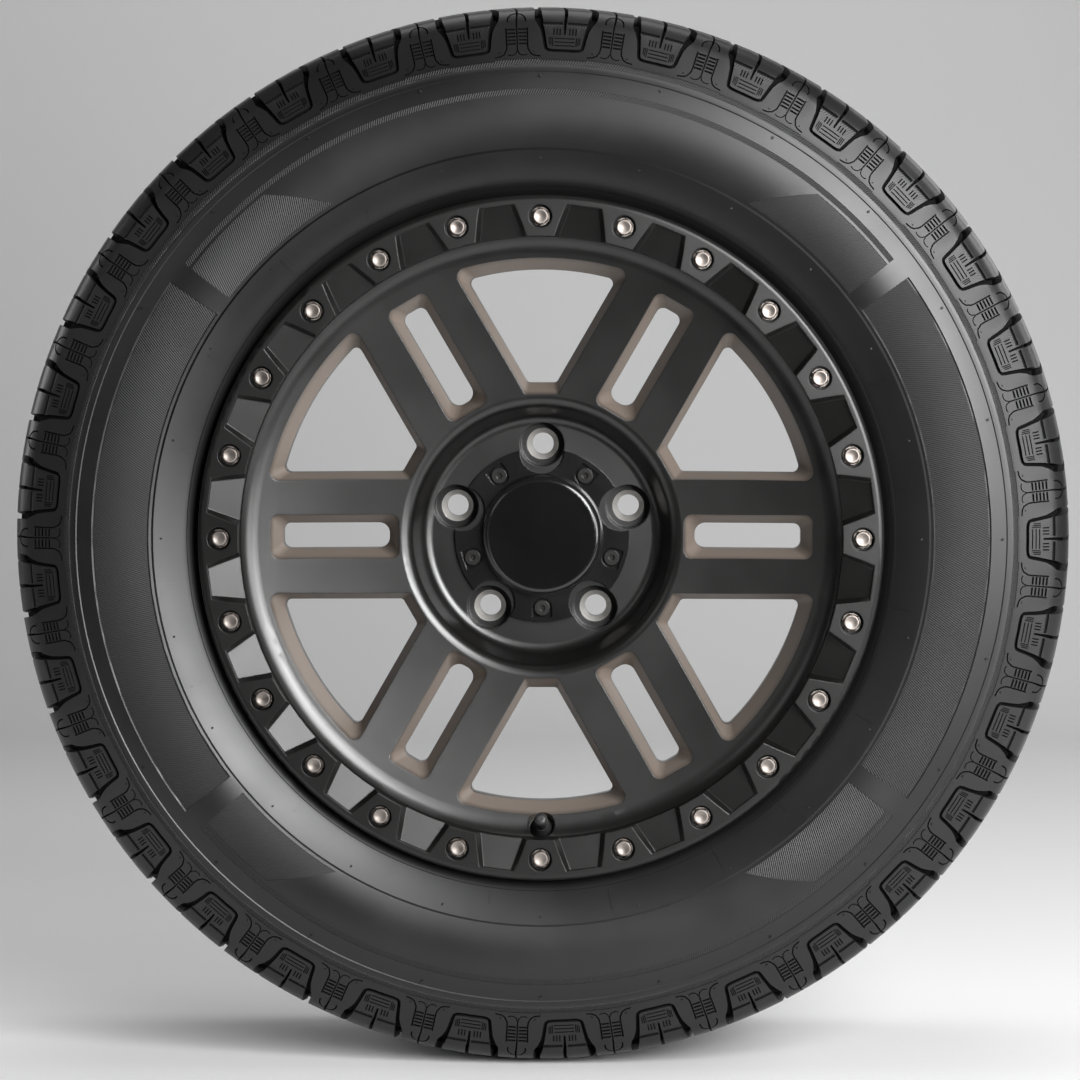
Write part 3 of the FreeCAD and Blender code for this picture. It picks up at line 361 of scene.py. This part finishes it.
def round_the_axle(name):
    """A tree that sets copies of a piece evenly round the axle and welds where they meet."""
    tree = bpy.data.node_groups.new(name, "GeometryNodeTree")
    sockets = tree.interface
    sockets.new_socket("Piece", in_out="INPUT", socket_type="NodeSocketGeometry")
    sockets.new_socket("Copies", in_out="INPUT", socket_type="NodeSocketInt")
    sockets.new_socket("Weld Distance", in_out="INPUT", socket_type="NodeSocketFloat")
    sockets.new_socket("Finish", in_out="INPUT", socket_type="NodeSocketMaterial")
    sockets.new_socket("Ring", in_out="OUTPUT", socket_type="NodeSocketGeometry")
    add, join = tree.nodes.new, tree.links.new
    given, made = add("NodeGroupInput"), add("NodeGroupOutput")
    seats, index = add("GeometryNodeMeshLine"), add("GeometryNodeInputIndex")
    share, turn, spin = add("ShaderNodeMath"), add("ShaderNodeMath"), add("ShaderNodeCombineXYZ")
    copies, real = add("GeometryNodeInstanceOnPoints"), add("GeometryNodeRealizeInstances")
    weld, finish = add("GeometryNodeMergeByDistance"), add("GeometryNodeSetMaterial")
    seats.inputs["Offset"].default_value = (0, 0, 0)
    share.operation, turn.operation = "DIVIDE", "MULTIPLY"
    share.inputs[0].default_value = math.tau
    join(given.outputs["Copies"], seats.inputs["Count"])
    join(given.outputs["Copies"], share.inputs[1])
    join(index.outputs["Index"], turn.inputs[0])
    join(share.outputs[0], turn.inputs[1])
    join(turn.outputs[0], spin.inputs["Y"])
    join(seats.outputs["Mesh"], copies.inputs["Points"])
    join(given.outputs["Piece"], copies.inputs["Instance"])
    join(spin.outputs["Vector"], copies.inputs["Rotation"])
    join(copies.outputs["Instances"], real.inputs["Geometry"])
    join(real.outputs["Geometry"], weld.inputs["Geometry"])
    join(given.outputs["Weld Distance"], weld.inputs["Distance"])
    join(weld.outputs["Geometry"], finish.inputs["Geometry"])
    join(given.outputs["Finish"], finish.inputs["Material"])
    join(finish.outputs["Geometry"], made.inputs["Ring"])
    return tree


ring_tree = round_the_axle("copies_round_the_axle")


def ring_mesh(name, skin, copies, finish):
    """The mesh of a piece repeated round the axle."""
    mesh = bpy.data.meshes.new(name)
    skin.to_mesh(mesh)
    skin.free()
    piece = bpy.data.objects.new(name, mesh)
    bpy.context.scene.collection.objects.link(piece)
    repeat = piece.modifiers.new("Round The Axle", "NODES")
    repeat.node_group = ring_tree
    values = {"Copies": copies, "Weld Distance": WELD_DISTANCE, "Finish": finish}
    for socket in ring_tree.interface.items_tree:
        if socket.name in values:
            repeat[socket.identifier] = values[socket.name]
    graph = bpy.context.evaluated_depsgraph_get()
    made = bpy.data.meshes.new_from_object(
        piece.evaluated_get(graph), preserve_all_data_layers=True, depsgraph=graph
    )
    bpy.data.objects.remove(piece)
    return made


def finished(name, mesh, finish, sharp=32):
    """A piece's object from its mesh, smooth but for edges sharper than the angle."""
    mesh.name = name
    mesh.materials.clear()
    mesh.materials.append(finish)
    mesh.shade_smooth()
    mesh.set_sharp_from_angle(angle=math.radians(sharp))
    piece = bpy.data.objects.new(name, mesh)
    bpy.context.scene.collection.objects.link(piece)
    return piece


def new_finish(name):
    """An empty material with its Principled shader, and short calls to add and join nodes."""
    finish = bpy.data.materials.new(name)
    finish.use_nodes = True
    nodes, links = finish.node_tree.nodes, finish.node_tree.links
    shader = nodes["Principled BSDF"]
    return finish, nodes, links.new, shader


def grain_group():
    """Small unevenness of a surface: a tone from 0 to 1 and a height, from noise at two scales."""
    tree = bpy.data.node_groups.new("surface_grain", "ShaderNodeTree")
    tree.interface.new_socket("Broad Scale", in_out="INPUT", socket_type="NodeSocketFloat")
    tree.interface.new_socket("Fine Scale", in_out="INPUT", socket_type="NodeSocketFloat")
    tree.interface.new_socket("Tone", in_out="OUTPUT", socket_type="NodeSocketFloat")
    tree.interface.new_socket("Height", in_out="OUTPUT", socket_type="NodeSocketFloat")
    add, join = tree.nodes.new, tree.links.new
    given, made, place = add("NodeGroupInput"), add("NodeGroupOutput"), add("ShaderNodeTexCoord")
    broad, fine = add("ShaderNodeTexNoise"), add("ShaderNodeTexNoise")
    broad.inputs["Detail"].default_value = 4
    fine.inputs["Detail"].default_value = 2
    for noise, scale in ((broad, "Broad Scale"), (fine, "Fine Scale")):
        join(place.outputs["Object"], noise.inputs["Vector"])
        join(given.outputs[scale], noise.inputs["Scale"])
    join(broad.outputs["Fac"], made.inputs["Tone"])
    join(fine.outputs["Fac"], made.inputs["Height"])
    return tree


def polar_group():
    """Where a point lies about the axle: its angle, its radius and its distance outboard."""
    tree = bpy.data.node_groups.new("about_the_axle", "ShaderNodeTree")
    for name in ("Angle", "Radius", "Outboard"):
        tree.interface.new_socket(name, in_out="OUTPUT", socket_type="NodeSocketFloat")
    add, join = tree.nodes.new, tree.links.new
    made, place = add("NodeGroupOutput"), add("ShaderNodeTexCoord")
    split, flat = add("ShaderNodeSeparateXYZ"), add("ShaderNodeCombineXYZ")
    angle, radius, out = add("ShaderNodeMath"), add("ShaderNodeVectorMath"), add("ShaderNodeMath")
    angle.operation, radius.operation, out.operation = "ARCTAN2", "LENGTH", "MULTIPLY"
    out.inputs[1].default_value = -1
    join(place.outputs["Object"], split.inputs[0])
    join(split.outputs["Z"], angle.inputs[0])
    join(split.outputs["X"], angle.inputs[1])
    join(split.outputs["X"], flat.inputs["X"])
    join(split.outputs["Z"], flat.inputs["Z"])
    join(flat.outputs[0], radius.inputs[0])
    join(split.outputs["Y"], out.inputs[0])
    join(angle.outputs[0], made.inputs["Angle"])
    join(radius.outputs["Value"], made.inputs["Radius"])
    join(out.outputs[0], made.inputs["Outboard"])
    return tree


surface_grain = grain_group()
about_axle = polar_group()


def placed(nodes, tree, **values):
    """A shader group set into a material with its own values."""
    node = nodes.new("ShaderNodeGroup")
    node.node_tree = tree
    for name, value in values.items():
        node.inputs[name.replace("_", " ")].default_value = value
    return node


def blended(nodes, join, mask, low, high):
    """A colour that runs from low to high with a mask."""
    mix = nodes.new("ShaderNodeMix")
    mix.data_type = "RGBA"
    join(mask, mix.inputs["Factor"])
    for socket, value in (("A", low), ("B", high)):
        target = [s for s in mix.inputs if s.name == socket and s.type == "RGBA"][0]
        if isinstance(value, tuple):
            target.default_value = (*value, 1)
        else:
            join(value, target)
    return [s for s in mix.outputs if s.type == "RGBA"][0]


def spread(nodes, join, value, low, high, from_low=0.0, from_high=1.0):
    """A value taken from one range to another and held at its ends."""
    node = nodes.new("ShaderNodeMapRange")
    join(value, node.inputs["Value"])
    node.inputs["From Min"].default_value = from_low
    node.inputs["From Max"].default_value = from_high
    node.inputs["To Min"].default_value = low
    node.inputs["To Max"].default_value = high
    return node.outputs["Result"]


def figured(nodes, join, operation, first, second=None):
    """One step of arithmetic; either term is a number or a socket."""
    node = nodes.new("ShaderNodeMath")
    node.operation = operation
    for socket, term in zip(node.inputs, (first, second)):
        if isinstance(term, (int, float)):
            socket.default_value = term
        elif term is not None:
            join(term, socket)
    return node.outputs[0]


def bumped(nodes, join, shader, height, strength, distance, under=None):
    """A fine relief on a finish, laid over another normal where one is given."""
    bump = nodes.new("ShaderNodeBump")
    bump.inputs["Strength"].default_value = strength
    bump.inputs["Distance"].default_value = distance
    join(height, bump.inputs["Height"])
    if under is not None:
        join(under, bump.inputs["Normal"])
    join(bump.outputs["Normal"], shader.inputs["Normal"])


RUBBER_DARK, RUBBER_PALE = (0.0060, 0.0060, 0.0062), (0.0095, 0.0095, 0.0098)
# The darkest rubber: the tone of hatched skin, and painted shade in grooves.
HATCH_TONE_AND_GROOVE_SHADE = (0.0045, 0.0045, 0.0047)
HATCH_ROUND, HATCH_SLANT = 1150, 1900
TONE_LOW, TONE_HIGH = 0.3, 0.7


def tyre_rubber():
    """Black rubber with a satin mould skin, hatched and darker in tone where the mask says, and
    painted shade inside grooves: darker and without sheen.
    """
    finish, nodes, join, shader = new_finish("tyre_rubber")
    grain = placed(nodes, surface_grain, Broad_Scale=14, Fine_Scale=900)
    tone = grain.outputs["Tone"]
    polar = placed(nodes, about_axle)
    attribute = nodes.new("ShaderNodeAttribute")
    attribute.attribute_name = "hatch"
    mask = attribute.outputs["Fac"]
    lines = figured(nodes, join, "MULTIPLY", polar.outputs["Angle"], HATCH_ROUND)
    slant = figured(nodes, join, "MULTIPLY", polar.outputs["Radius"], HATCH_SLANT)
    wave = figured(nodes, join, "SINE", figured(nodes, join, "ADD", lines, slant))
    # Grooves, marked above the threshold, take painted shade.
    groove_shade_mask = figured(nodes, join, "GREATER_THAN", mask, GROOVE_SHADE_ABOVE)
    open_skin = figured(nodes, join, "SUBTRACT", 1, groove_shade_mask)
    hatch = figured(nodes, join, "MULTIPLY", mask, open_skin)
    ridge = figured(nodes, join, "MULTIPLY", wave, hatch)
    pores = figured(nodes, join, "MULTIPLY", grain.outputs["Height"], 0.12)
    height = figured(nodes, join, "ADD", pores, ridge)
    skin = blended(nodes, join, tone, RUBBER_DARK, RUBBER_PALE)
    # Hatched skin turns darker in tone; in grooves the same darkening is painted shade.
    dark = spread(nodes, join, mask, 0.0, 0.5)
    join(blended(nodes, join, dark, skin, HATCH_TONE_AND_GROOVE_SHADE), shader.inputs["Base Color"])
    rough = spread(nodes, join, tone, 0.32, 0.40, TONE_LOW, TONE_HIGH)
    rougher = figured(nodes, join, "MULTIPLY", mask, 0.25)
    join(figured(nodes, join, "ADD", rough, rougher), shader.inputs["Roughness"])
    # Painted shade: grooves lose nearly all their sheen.
    join(spread(nodes, join, groove_shade_mask, 0.5, 0.06), shader.inputs["Specular IOR Level"])
    bumped(nodes, join, shader, height, 0.5, 0.00025)
    return finish


rubber = tyre_rubber()
pitch_angles = [k * STEP for k in range(-3, 6)]
pitch_walks = [FOOT + rise for rise in BUTTRESS_ROWS] + [TOP - inward for inward in CROWN_ROWS]
pitch = moulded(pitch_angles, pitch_walks, pitch_shapes())
far_half = bmesh.ops.duplicate(pitch, geom=pitch.verts[:] + pitch.faces[:])["geom"]
half_turn = math.radians(PITCH / 2)
for vertex in [v for v in far_half if isinstance(v, bmesh.types.BMVert)]:
    x, y, z = vertex.co
    vertex.co = (
        x * math.cos(half_turn) - z * math.sin(half_turn),
        -y,
        x * math.sin(half_turn) + z * math.cos(half_turn),
    )
bmesh.ops.reverse_faces(pitch, faces=[f for f in far_half if isinstance(f, bmesh.types.BMFace)])
tread_mesh = ring_mesh("tread_pitch", pitch, PITCHES, rubber)

flank_angles = [(SEAM_STEP + k) * STEP for k in range(PITCHES * STEPS_PER_PITCH + 1)]
flank_walks = [0.0, *(section.up_to(radius) for radius in (BEAD_SEAT[1][0], *FLANK_ROWS))]
flank = moulded(flank_angles, flank_walks, flank_shapes())
inside_ring = BEAD_INSIDE + LINER
for a, b in zip(flank_angles, flank_angles[1:]):
    for low, high in zip(inside_ring, inside_ring[1:]):
        corners = []
        for angle, (radius, out) in ((a, low), (b, low), (b, high), (a, high)):
            turn = math.radians(angle)
            place = (MM * radius * math.cos(turn), -MM * out, MM * radius * math.sin(turn))
            corners.append(flank.verts.new(place))
        flank.faces.new(corners)
far_side = bmesh.ops.duplicate(flank, geom=flank.verts[:] + flank.faces[:])["geom"]
for vertex in [v for v in far_side if isinstance(v, bmesh.types.BMVert)]:
    vertex.co.y = -vertex.co.y
flank.from_mesh(tread_mesh)
bmesh.ops.remove_doubles(flank, verts=flank.verts, dist=WELD_DISTANCE)
bmesh.ops.recalc_face_normals(flank, faces=flank.faces)


def vent_pip():
    """Stubs of rubber left by vent holes of the mould, standing on the sidewall at angle zero."""
    stub = bmesh.new()
    for radius in PIP_ROWS:
        x, y, z = section.place(0.0, section.up_to(radius), -PIP_SUNK)
        made = bmesh.ops.create_cone(
            stub, segments=6, radius1=MM * PIP_FOOT, radius2=MM * PIP_TIP, depth=MM * PIP_LENGTH,
            cap_ends=True,
        )
        for vertex in made["verts"]:
            vertex.co = (x + vertex.co.x, y - vertex.co.z, z + vertex.co.y)
    return stub


pips = ring_mesh("vent_pips", vent_pip(), PIPS_IN_ROW, rubber)
flank.from_mesh(pips)
bmesh.ops.recalc_face_normals(flank, faces=flank.faces)
tyre_mesh = bpy.data.meshes.new("tyre_rubber")
flank.to_mesh(tyre_mesh)
flank.free()
tyre = finished("tyre_rubber", tyre_mesh, rubber)
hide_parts("tyre")
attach(tyre, "wheel")


# Alloy wheel
# A cast aluminium wheel, machined and powder coated satin black. The drafted walls of its windows
# and slots carry a bronze tint, and the lug seats are left as bright machined cones.
PAINT_DARK, PAINT_PALE = (0.0044, 0.0042, 0.0040), (0.0062, 0.0060, 0.0057)
BRONZE = (0.17, 0.138, 0.115)
BRIGHT_METAL = (0.62, 0.60, 0.57)
WALL_FACING = 0.62
WINDOW_RADIUS, WINDOW_REACH = 0.148, 0.0505
FACE_SLOPE = 0.1162
WALL_BACK, TINT_FULL, TINT_FAINT = 0.0493, 0.0635, 0.0715
LUG_RADIUS, LUG_REACH = 0.0635, 0.0115
SEAT_OUT, SEAT_REACH = 0.0328, 0.0031
EDGE_ROUNDING = 0.0011


def within(nodes, join, value, middle, reach):
    """A mask that is 1 where a value lies near a middle."""
    near = figured(nodes, join, "COMPARE", value, middle)
    near.node.inputs[2].default_value = reach
    return near


def satin_black(name, sheen, roughness, tint_windows):
    """Satin black powder coat; the wheel's also shows its tinted walls and bright lug seats."""
    finish, nodes, join, shader = new_finish(name)
    shader.inputs["Specular IOR Level"].default_value = sheen
    grain = placed(nodes, surface_grain, Broad_Scale=22, Fine_Scale=1400)
    tone = grain.outputs["Tone"]
    paint = blended(nodes, join, tone, PAINT_DARK, PAINT_PALE)
    rough = spread(nodes, join, tone, *roughness, TONE_LOW, TONE_HIGH)
    if tint_windows:
        polar = placed(nodes, about_axle)
        radius, out = polar.outputs["Radius"], polar.outputs["Outboard"]
        facing = nodes.new("ShaderNodeNewGeometry")
        split = nodes.new("ShaderNodeSeparateXYZ")
        join(facing.outputs["Normal"], split.inputs[0])
        outward = figured(nodes, join, "ABSOLUTE", split.outputs["Y"])
        steep = figured(nodes, join, "LESS_THAN", outward, WALL_FACING)
        in_windows = within(nodes, join, radius, WINDOW_RADIUS, WINDOW_REACH)
        slope = figured(nodes, join, "MULTIPLY", radius, FACE_SLOPE)
        rise = figured(nodes, join, "SUBTRACT", out, slope)
        near_face = figured(nodes, join, "GREATER_THAN", rise, WALL_BACK)
        wall = figured(nodes, join, "MULTIPLY", steep, in_windows)
        wall = figured(nodes, join, "MULTIPLY", wall, near_face)
        fade = spread(nodes, join, rise, 1.0, 0.15, TINT_FULL, TINT_FAINT)
        wall = figured(nodes, join, "MULTIPLY", wall, fade)
        paint = blended(nodes, join, wall, paint, BRONZE)
        rougher = figured(nodes, join, "MULTIPLY", wall, 0.2)
        rough = figured(nodes, join, "ADD", rough, rougher)
        at_lugs = within(nodes, join, radius, LUG_RADIUS, LUG_REACH)
        at_depth = within(nodes, join, out, SEAT_OUT, SEAT_REACH)
        seat = figured(nodes, join, "MULTIPLY", at_lugs, at_depth)
        paint = blended(nodes, join, seat, paint, BRIGHT_METAL)
        join(figured(nodes, join, "MULTIPLY", seat, 0.4), shader.inputs["Metallic"])
    join(paint, shader.inputs["Base Color"])
    join(rough, shader.inputs["Roughness"])
    edge = nodes.new("ShaderNodeBevel")
    edge.samples = 4
    edge.inputs["Radius"].default_value = EDGE_ROUNDING
    bumped(nodes, join, shader, grain.outputs["Height"], 0.12, 0.0002, edge.outputs["Normal"])
    return finish


def dressed(node, finish):
    """A CAD piece keeps its shape and takes its finish."""
    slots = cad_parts[node].data.materials
    slots.clear()
    slots.append(finish)


dressed("alloy_wheel", satin_black("wheel_satin_black", 0.80, (0.28, 0.32), True))


# Bead clamp ring
# A forged aluminium ring bolted to the rim's front flange, with sloping pockets milled between the
# bolts and the same satin black coat as the wheel.
dressed("beadlock_ring", satin_black("ring_satin_black", 0.5, (0.31, 0.36), False))


# Ring bolts
# Twenty-four plated steel flange bolts, cold headed with a chamfered hexagon on a round skirt, sunk
# in counterbores of the ring.
BOLT_CIRCLE = 0.222
BOLT_FOOT = 0.1095
BOLT_TOP = 0.1157
SKIRT_RADIUS = 0.0072
HEX_ACROSS = 0.0108
BOLTS = 24
POINTS = 12


def flange_bolt():
    """One bolt head at angle zero, in rings of points from the skirt's foot up to a dished top."""
    head = bmesh.new()
    hex_reach = HEX_ACROSS / 2 / math.cos(math.pi / 6)
    rings = [
        (BOLT_FOOT, SKIRT_RADIUS, 0), (BOLT_FOOT + 0.0009, SKIRT_RADIUS, 0),
        (BOLT_FOOT + 0.0019, hex_reach + 0.0003, 0), (BOLT_FOOT + 0.0019, hex_reach, 1),
        (BOLT_TOP - 0.0009, hex_reach, 1), (BOLT_TOP - 0.0001, HEX_ACROSS / 2 * 0.93, 0),
        (BOLT_TOP, HEX_ACROSS / 2 * 0.84, 0), (BOLT_TOP - 0.0002, HEX_ACROSS / 2 * 0.68, 0),
        (BOLT_TOP - 0.0007, HEX_ACROSS / 2 * 0.3, 0),
    ]
    loops = []
    for out, reach, flats in rings:
        loop = []
        for k in range(POINTS):
            size = reach * (math.cos(math.pi / 6) if flats and k % 2 else 1)
            angle = math.tau * k / POINTS
            along, up = size * math.cos(angle), size * math.sin(angle)
            loop.append(head.verts.new((BOLT_CIRCLE + along, -out, up)))
        loops.append(loop)
    for low, high in zip(loops, loops[1:]):
        for k in range(POINTS):
            head.faces.new([low[k], low[k - 1], high[k - 1], high[k]])
    head.faces.new(loops[0])
    head.faces.new(loops[-1][::-1])
    bmesh.ops.recalc_face_normals(head, faces=head.faces)
    return head


STEEL_DARK, STEEL_PALE = (0.24, 0.21, 0.19), (0.34, 0.305, 0.28)


def plated_steel():
    """Steel with a matt, slightly warm plating."""
    finish, nodes, join, shader = new_finish("bolt_plated_steel")
    grain = placed(nodes, surface_grain, Broad_Scale=160, Fine_Scale=2600)
    tone = grain.outputs["Tone"]
    join(blended(nodes, join, tone, STEEL_DARK, STEEL_PALE), shader.inputs["Base Color"])
    rough = spread(nodes, join, tone, 0.36, 0.50, TONE_LOW, TONE_HIGH)
    join(rough, shader.inputs["Roughness"])
    shader.inputs["Metallic"].default_value = 1.0
    bumped(nodes, join, shader, grain.outputs["Height"], 0.1, 0.0001)
    return finish


bolt_steel = plated_steel()
bolt_mesh = ring_mesh("flange_bolt", flange_bolt(), BOLTS, bolt_steel)
bolts = finished("ring_bolts_plated", bolt_mesh, bolt_steel)
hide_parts("ring_bolts")
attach(bolts, "wheel")


# Centre cap
# A moulded cap with a scalloped flange round the lug pockets and a flush disc, both polished black,
# held to the wheel by five black socket screws.
def gloss_black(name, colour, roughness):
    """Polished black with a thin clear coat and softened edges."""
    finish, nodes, join, shader = new_finish(name)
    grain = placed(nodes, surface_grain, Broad_Scale=35, Fine_Scale=500)
    tone = grain.outputs["Tone"]
    paler = tuple(1.5 * part for part in colour)
    join(blended(nodes, join, tone, colour, paler), shader.inputs["Base Color"])
    rough = spread(nodes, join, tone, roughness, roughness + 0.07, TONE_LOW, TONE_HIGH)
    join(rough, shader.inputs["Roughness"])
    shader.inputs["Coat Weight"].default_value = 0.5
    shader.inputs["Coat Roughness"].default_value = 0.06
    edge = nodes.new("ShaderNodeBevel")
    edge.inputs["Radius"].default_value = 0.0007
    bumped(nodes, join, shader, grain.outputs["Height"], 0.03, 0.0001, edge.outputs["Normal"])
    return finish


dressed("centre_cap", gloss_black("cap_gloss_black", (0.006, 0.006, 0.0063), 0.14))
dressed("cap_disc", gloss_black("disc_gloss_black", (0.004, 0.004, 0.0042), 0.08))
dressed("cap_screws", gloss_black("screw_black_oxide", (0.014, 0.0135, 0.013), 0.22))


# Tyre valve
# A snap-in valve: a rubber grommet bonded round a brass tube, a threaded core with its pin, seal
# and spring inside it, and a moulded dust cap screwed on top.
def plain_finish(name, low, high, roughness, metallic, broad, fine):
    """Rubber, plastic or bare metal in one colour with a little unevenness."""
    finish, nodes, join, shader = new_finish(name)
    grain = placed(nodes, surface_grain, Broad_Scale=broad, Fine_Scale=fine)
    tone = grain.outputs["Tone"]
    join(blended(nodes, join, tone, low, high), shader.inputs["Base Color"])
    rough = spread(nodes, join, tone, roughness, roughness + 0.12, TONE_LOW, TONE_HIGH)
    join(rough, shader.inputs["Roughness"])
    shader.inputs["Metallic"].default_value = metallic
    bumped(nodes, join, shader, grain.outputs["Height"], 0.1, 0.0001)
    return finish


black_rubber = plain_finish(
    "valve_black_rubber", (0.014, 0.014, 0.014), (0.026, 0.026, 0.026),
    roughness=0.5, metallic=0, broad=90, fine=1500,
)
brass = plain_finish(
    "valve_brass", (0.55, 0.38, 0.16), (0.68, 0.49, 0.23),
    roughness=0.26, metallic=1, broad=120, fine=2000,
)
spring_wire = plain_finish(
    "spring_wire", (0.40, 0.39, 0.38), (0.52, 0.51, 0.50),
    roughness=0.28, metallic=1, broad=200, fine=2500,
)
cap_plastic = plain_finish(
    "dust_cap_plastic", (0.012, 0.012, 0.012), (0.022, 0.022, 0.022),
    roughness=0.34, metallic=0, broad=120, fine=1800,
)
gasket_rubber = plain_finish(
    "gasket_rubber", (0.20, 0.040, 0.032), (0.28, 0.055, 0.044),
    roughness=0.5, metallic=0, broad=90, fine=1500,
)
for node in ("valve_grommet", "pin_seal"):
    dressed(node, black_rubber)
dressed("core_gasket", gasket_rubber)
for node in ("valve_tube", "valve_core", "valve_pin"):
    dressed(node, brass)
dressed("valve_cap", cap_plastic)

# The valve's coil spring, copied from its CAD piece into a mesh of its own; in the valve it
# shortens towards its inner end as the pin is pressed.
coil_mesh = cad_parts["valve_spring"].data.copy()
coil_mesh.transform(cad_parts["valve_spring"].matrix_world)
coil = finished("valve_coil", coil_mesh, spring_wire)
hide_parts("valve_spring")
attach(coil, "wheel")
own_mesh(coil)


# Studio
# A pale floor that sweeps up into a backdrop, soft lamps at the front right, to the sides, above
# and behind, and a long lens a little above and to the right of the axle.
FLOOR = -MM * TREAD_RADIUS
FLOOR_FRONT, SWEEP_START, SWEEP_RADIUS = -0.7, 2.2, 1.2
BACKDROP_TOP, BACKDROP_HALF = 5.0, 14.0
SWEEP_STEPS = 24
sweep = bmesh.new()
rows = []
for k in range(SWEEP_STEPS + 1):
    turn = math.pi / 2 * k / SWEEP_STEPS
    rise = SWEEP_RADIUS - SWEEP_RADIUS * math.cos(turn)
    rows.append((SWEEP_START + SWEEP_RADIUS * math.sin(turn), FLOOR + rise))
rows = [(FLOOR_FRONT, FLOOR), *rows, (SWEEP_START + SWEEP_RADIUS, BACKDROP_TOP)]
ends = (-BACKDROP_HALF, BACKDROP_HALF)
lines = [[sweep.verts.new((x, y, z)) for x in ends] for y, z in rows]
for low, high in zip(lines, lines[1:]):
    sweep.faces.new([low[0], low[1], high[1], high[0]])
sweep_mesh = bpy.data.meshes.new("studio_sweep")
sweep.to_mesh(sweep_mesh)
sweep.free()


def pale_paper():
    """Pale paper that is clear from behind, so that the back of the wheel can be seen."""
    finish, nodes, join, shader = new_finish("pale_paper")
    shader.inputs["Base Color"].default_value = (0.80, 0.80, 0.80, 1)
    shader.inputs["Roughness"].default_value = 0.9
    shader.inputs["Specular IOR Level"].default_value = 0.0
    facing, clear = nodes.new("ShaderNodeNewGeometry"), nodes.new("ShaderNodeBsdfTransparent")
    either = nodes.new("ShaderNodeMixShader")
    join(facing.outputs["Backfacing"], either.inputs["Fac"])
    join(shader.outputs["BSDF"], either.inputs[1])
    join(clear.outputs["BSDF"], either.inputs[2])
    join(either.outputs["Shader"], nodes["Material Output"].inputs["Surface"])
    return finish


backdrop = finished("studio_sweep", sweep_mesh, pale_paper())


def soft_lamp(name, place, aim, size, watts):
    """A round area lamp turned towards its aim."""
    lamp = bpy.data.lights.new(name, "AREA")
    lamp.shape, lamp.size, lamp.energy = "DISK", size, watts
    carrier = bpy.data.objects.new(name, lamp)
    carrier.location = place
    carrier.rotation_euler = (Vector(aim) - Vector(place)).to_track_quat("-Z", "Y").to_euler()
    bpy.context.scene.collection.objects.link(carrier)


soft_lamp("key_upper_right", (1.23, -1.95, 1.15), (0, 0, 0), 1.2, 52)
soft_lamp("key_right", (1.85, -1.8, 0.2), (0, 0, 0), 1.2, 26)
soft_lamp("key_front", (0.95, -2.45, 0.42), (0, 0, 0), 0.9, 48)
soft_lamp("fill_upper_left", (-1.5, -1.9, 0.9), (0, 0, 0), 0.9, 2)
soft_lamp("rim_top", (0.0, 0.4, 2.2), (0, 0, 0.2), 1.8, 16)
soft_lamp("rim_left", (-2.2, 0.3, 0.6), (0, 0, 0), 1.2, 14)
soft_lamp("rim_right", (1.9, 0.3, 1.1), (0, 0, 0), 1.2, 14)
soft_lamp("fill_behind", (1.9, 2.2, 1.1), (0, 0, 0), 1.6, 10)
world = bpy.data.worlds.new("studio_air")
world.use_nodes = True
world.node_tree.nodes["Background"].inputs["Color"].default_value = (0.5, 0.5, 0.5, 1)
world.node_tree.nodes["Background"].inputs["Strength"].default_value = 0.05
bpy.context.scene.world = world

lens = bpy.data.cameras.new("long_lens")
lens.lens = 139.7
camera = bpy.data.objects.new("long_lens", lens)
camera.location = (0.06, -3.0, 0.15)
aim = Vector((-0.0003, -0.117, -0.0006))
camera.rotation_euler = (aim - camera.location).to_track_quat("-Z", "Y").to_euler()
bpy.context.scene.collection.objects.link(camera)
bpy.context.scene.camera = camera
bpy.context.scene.view_settings.view_transform = "Standard"
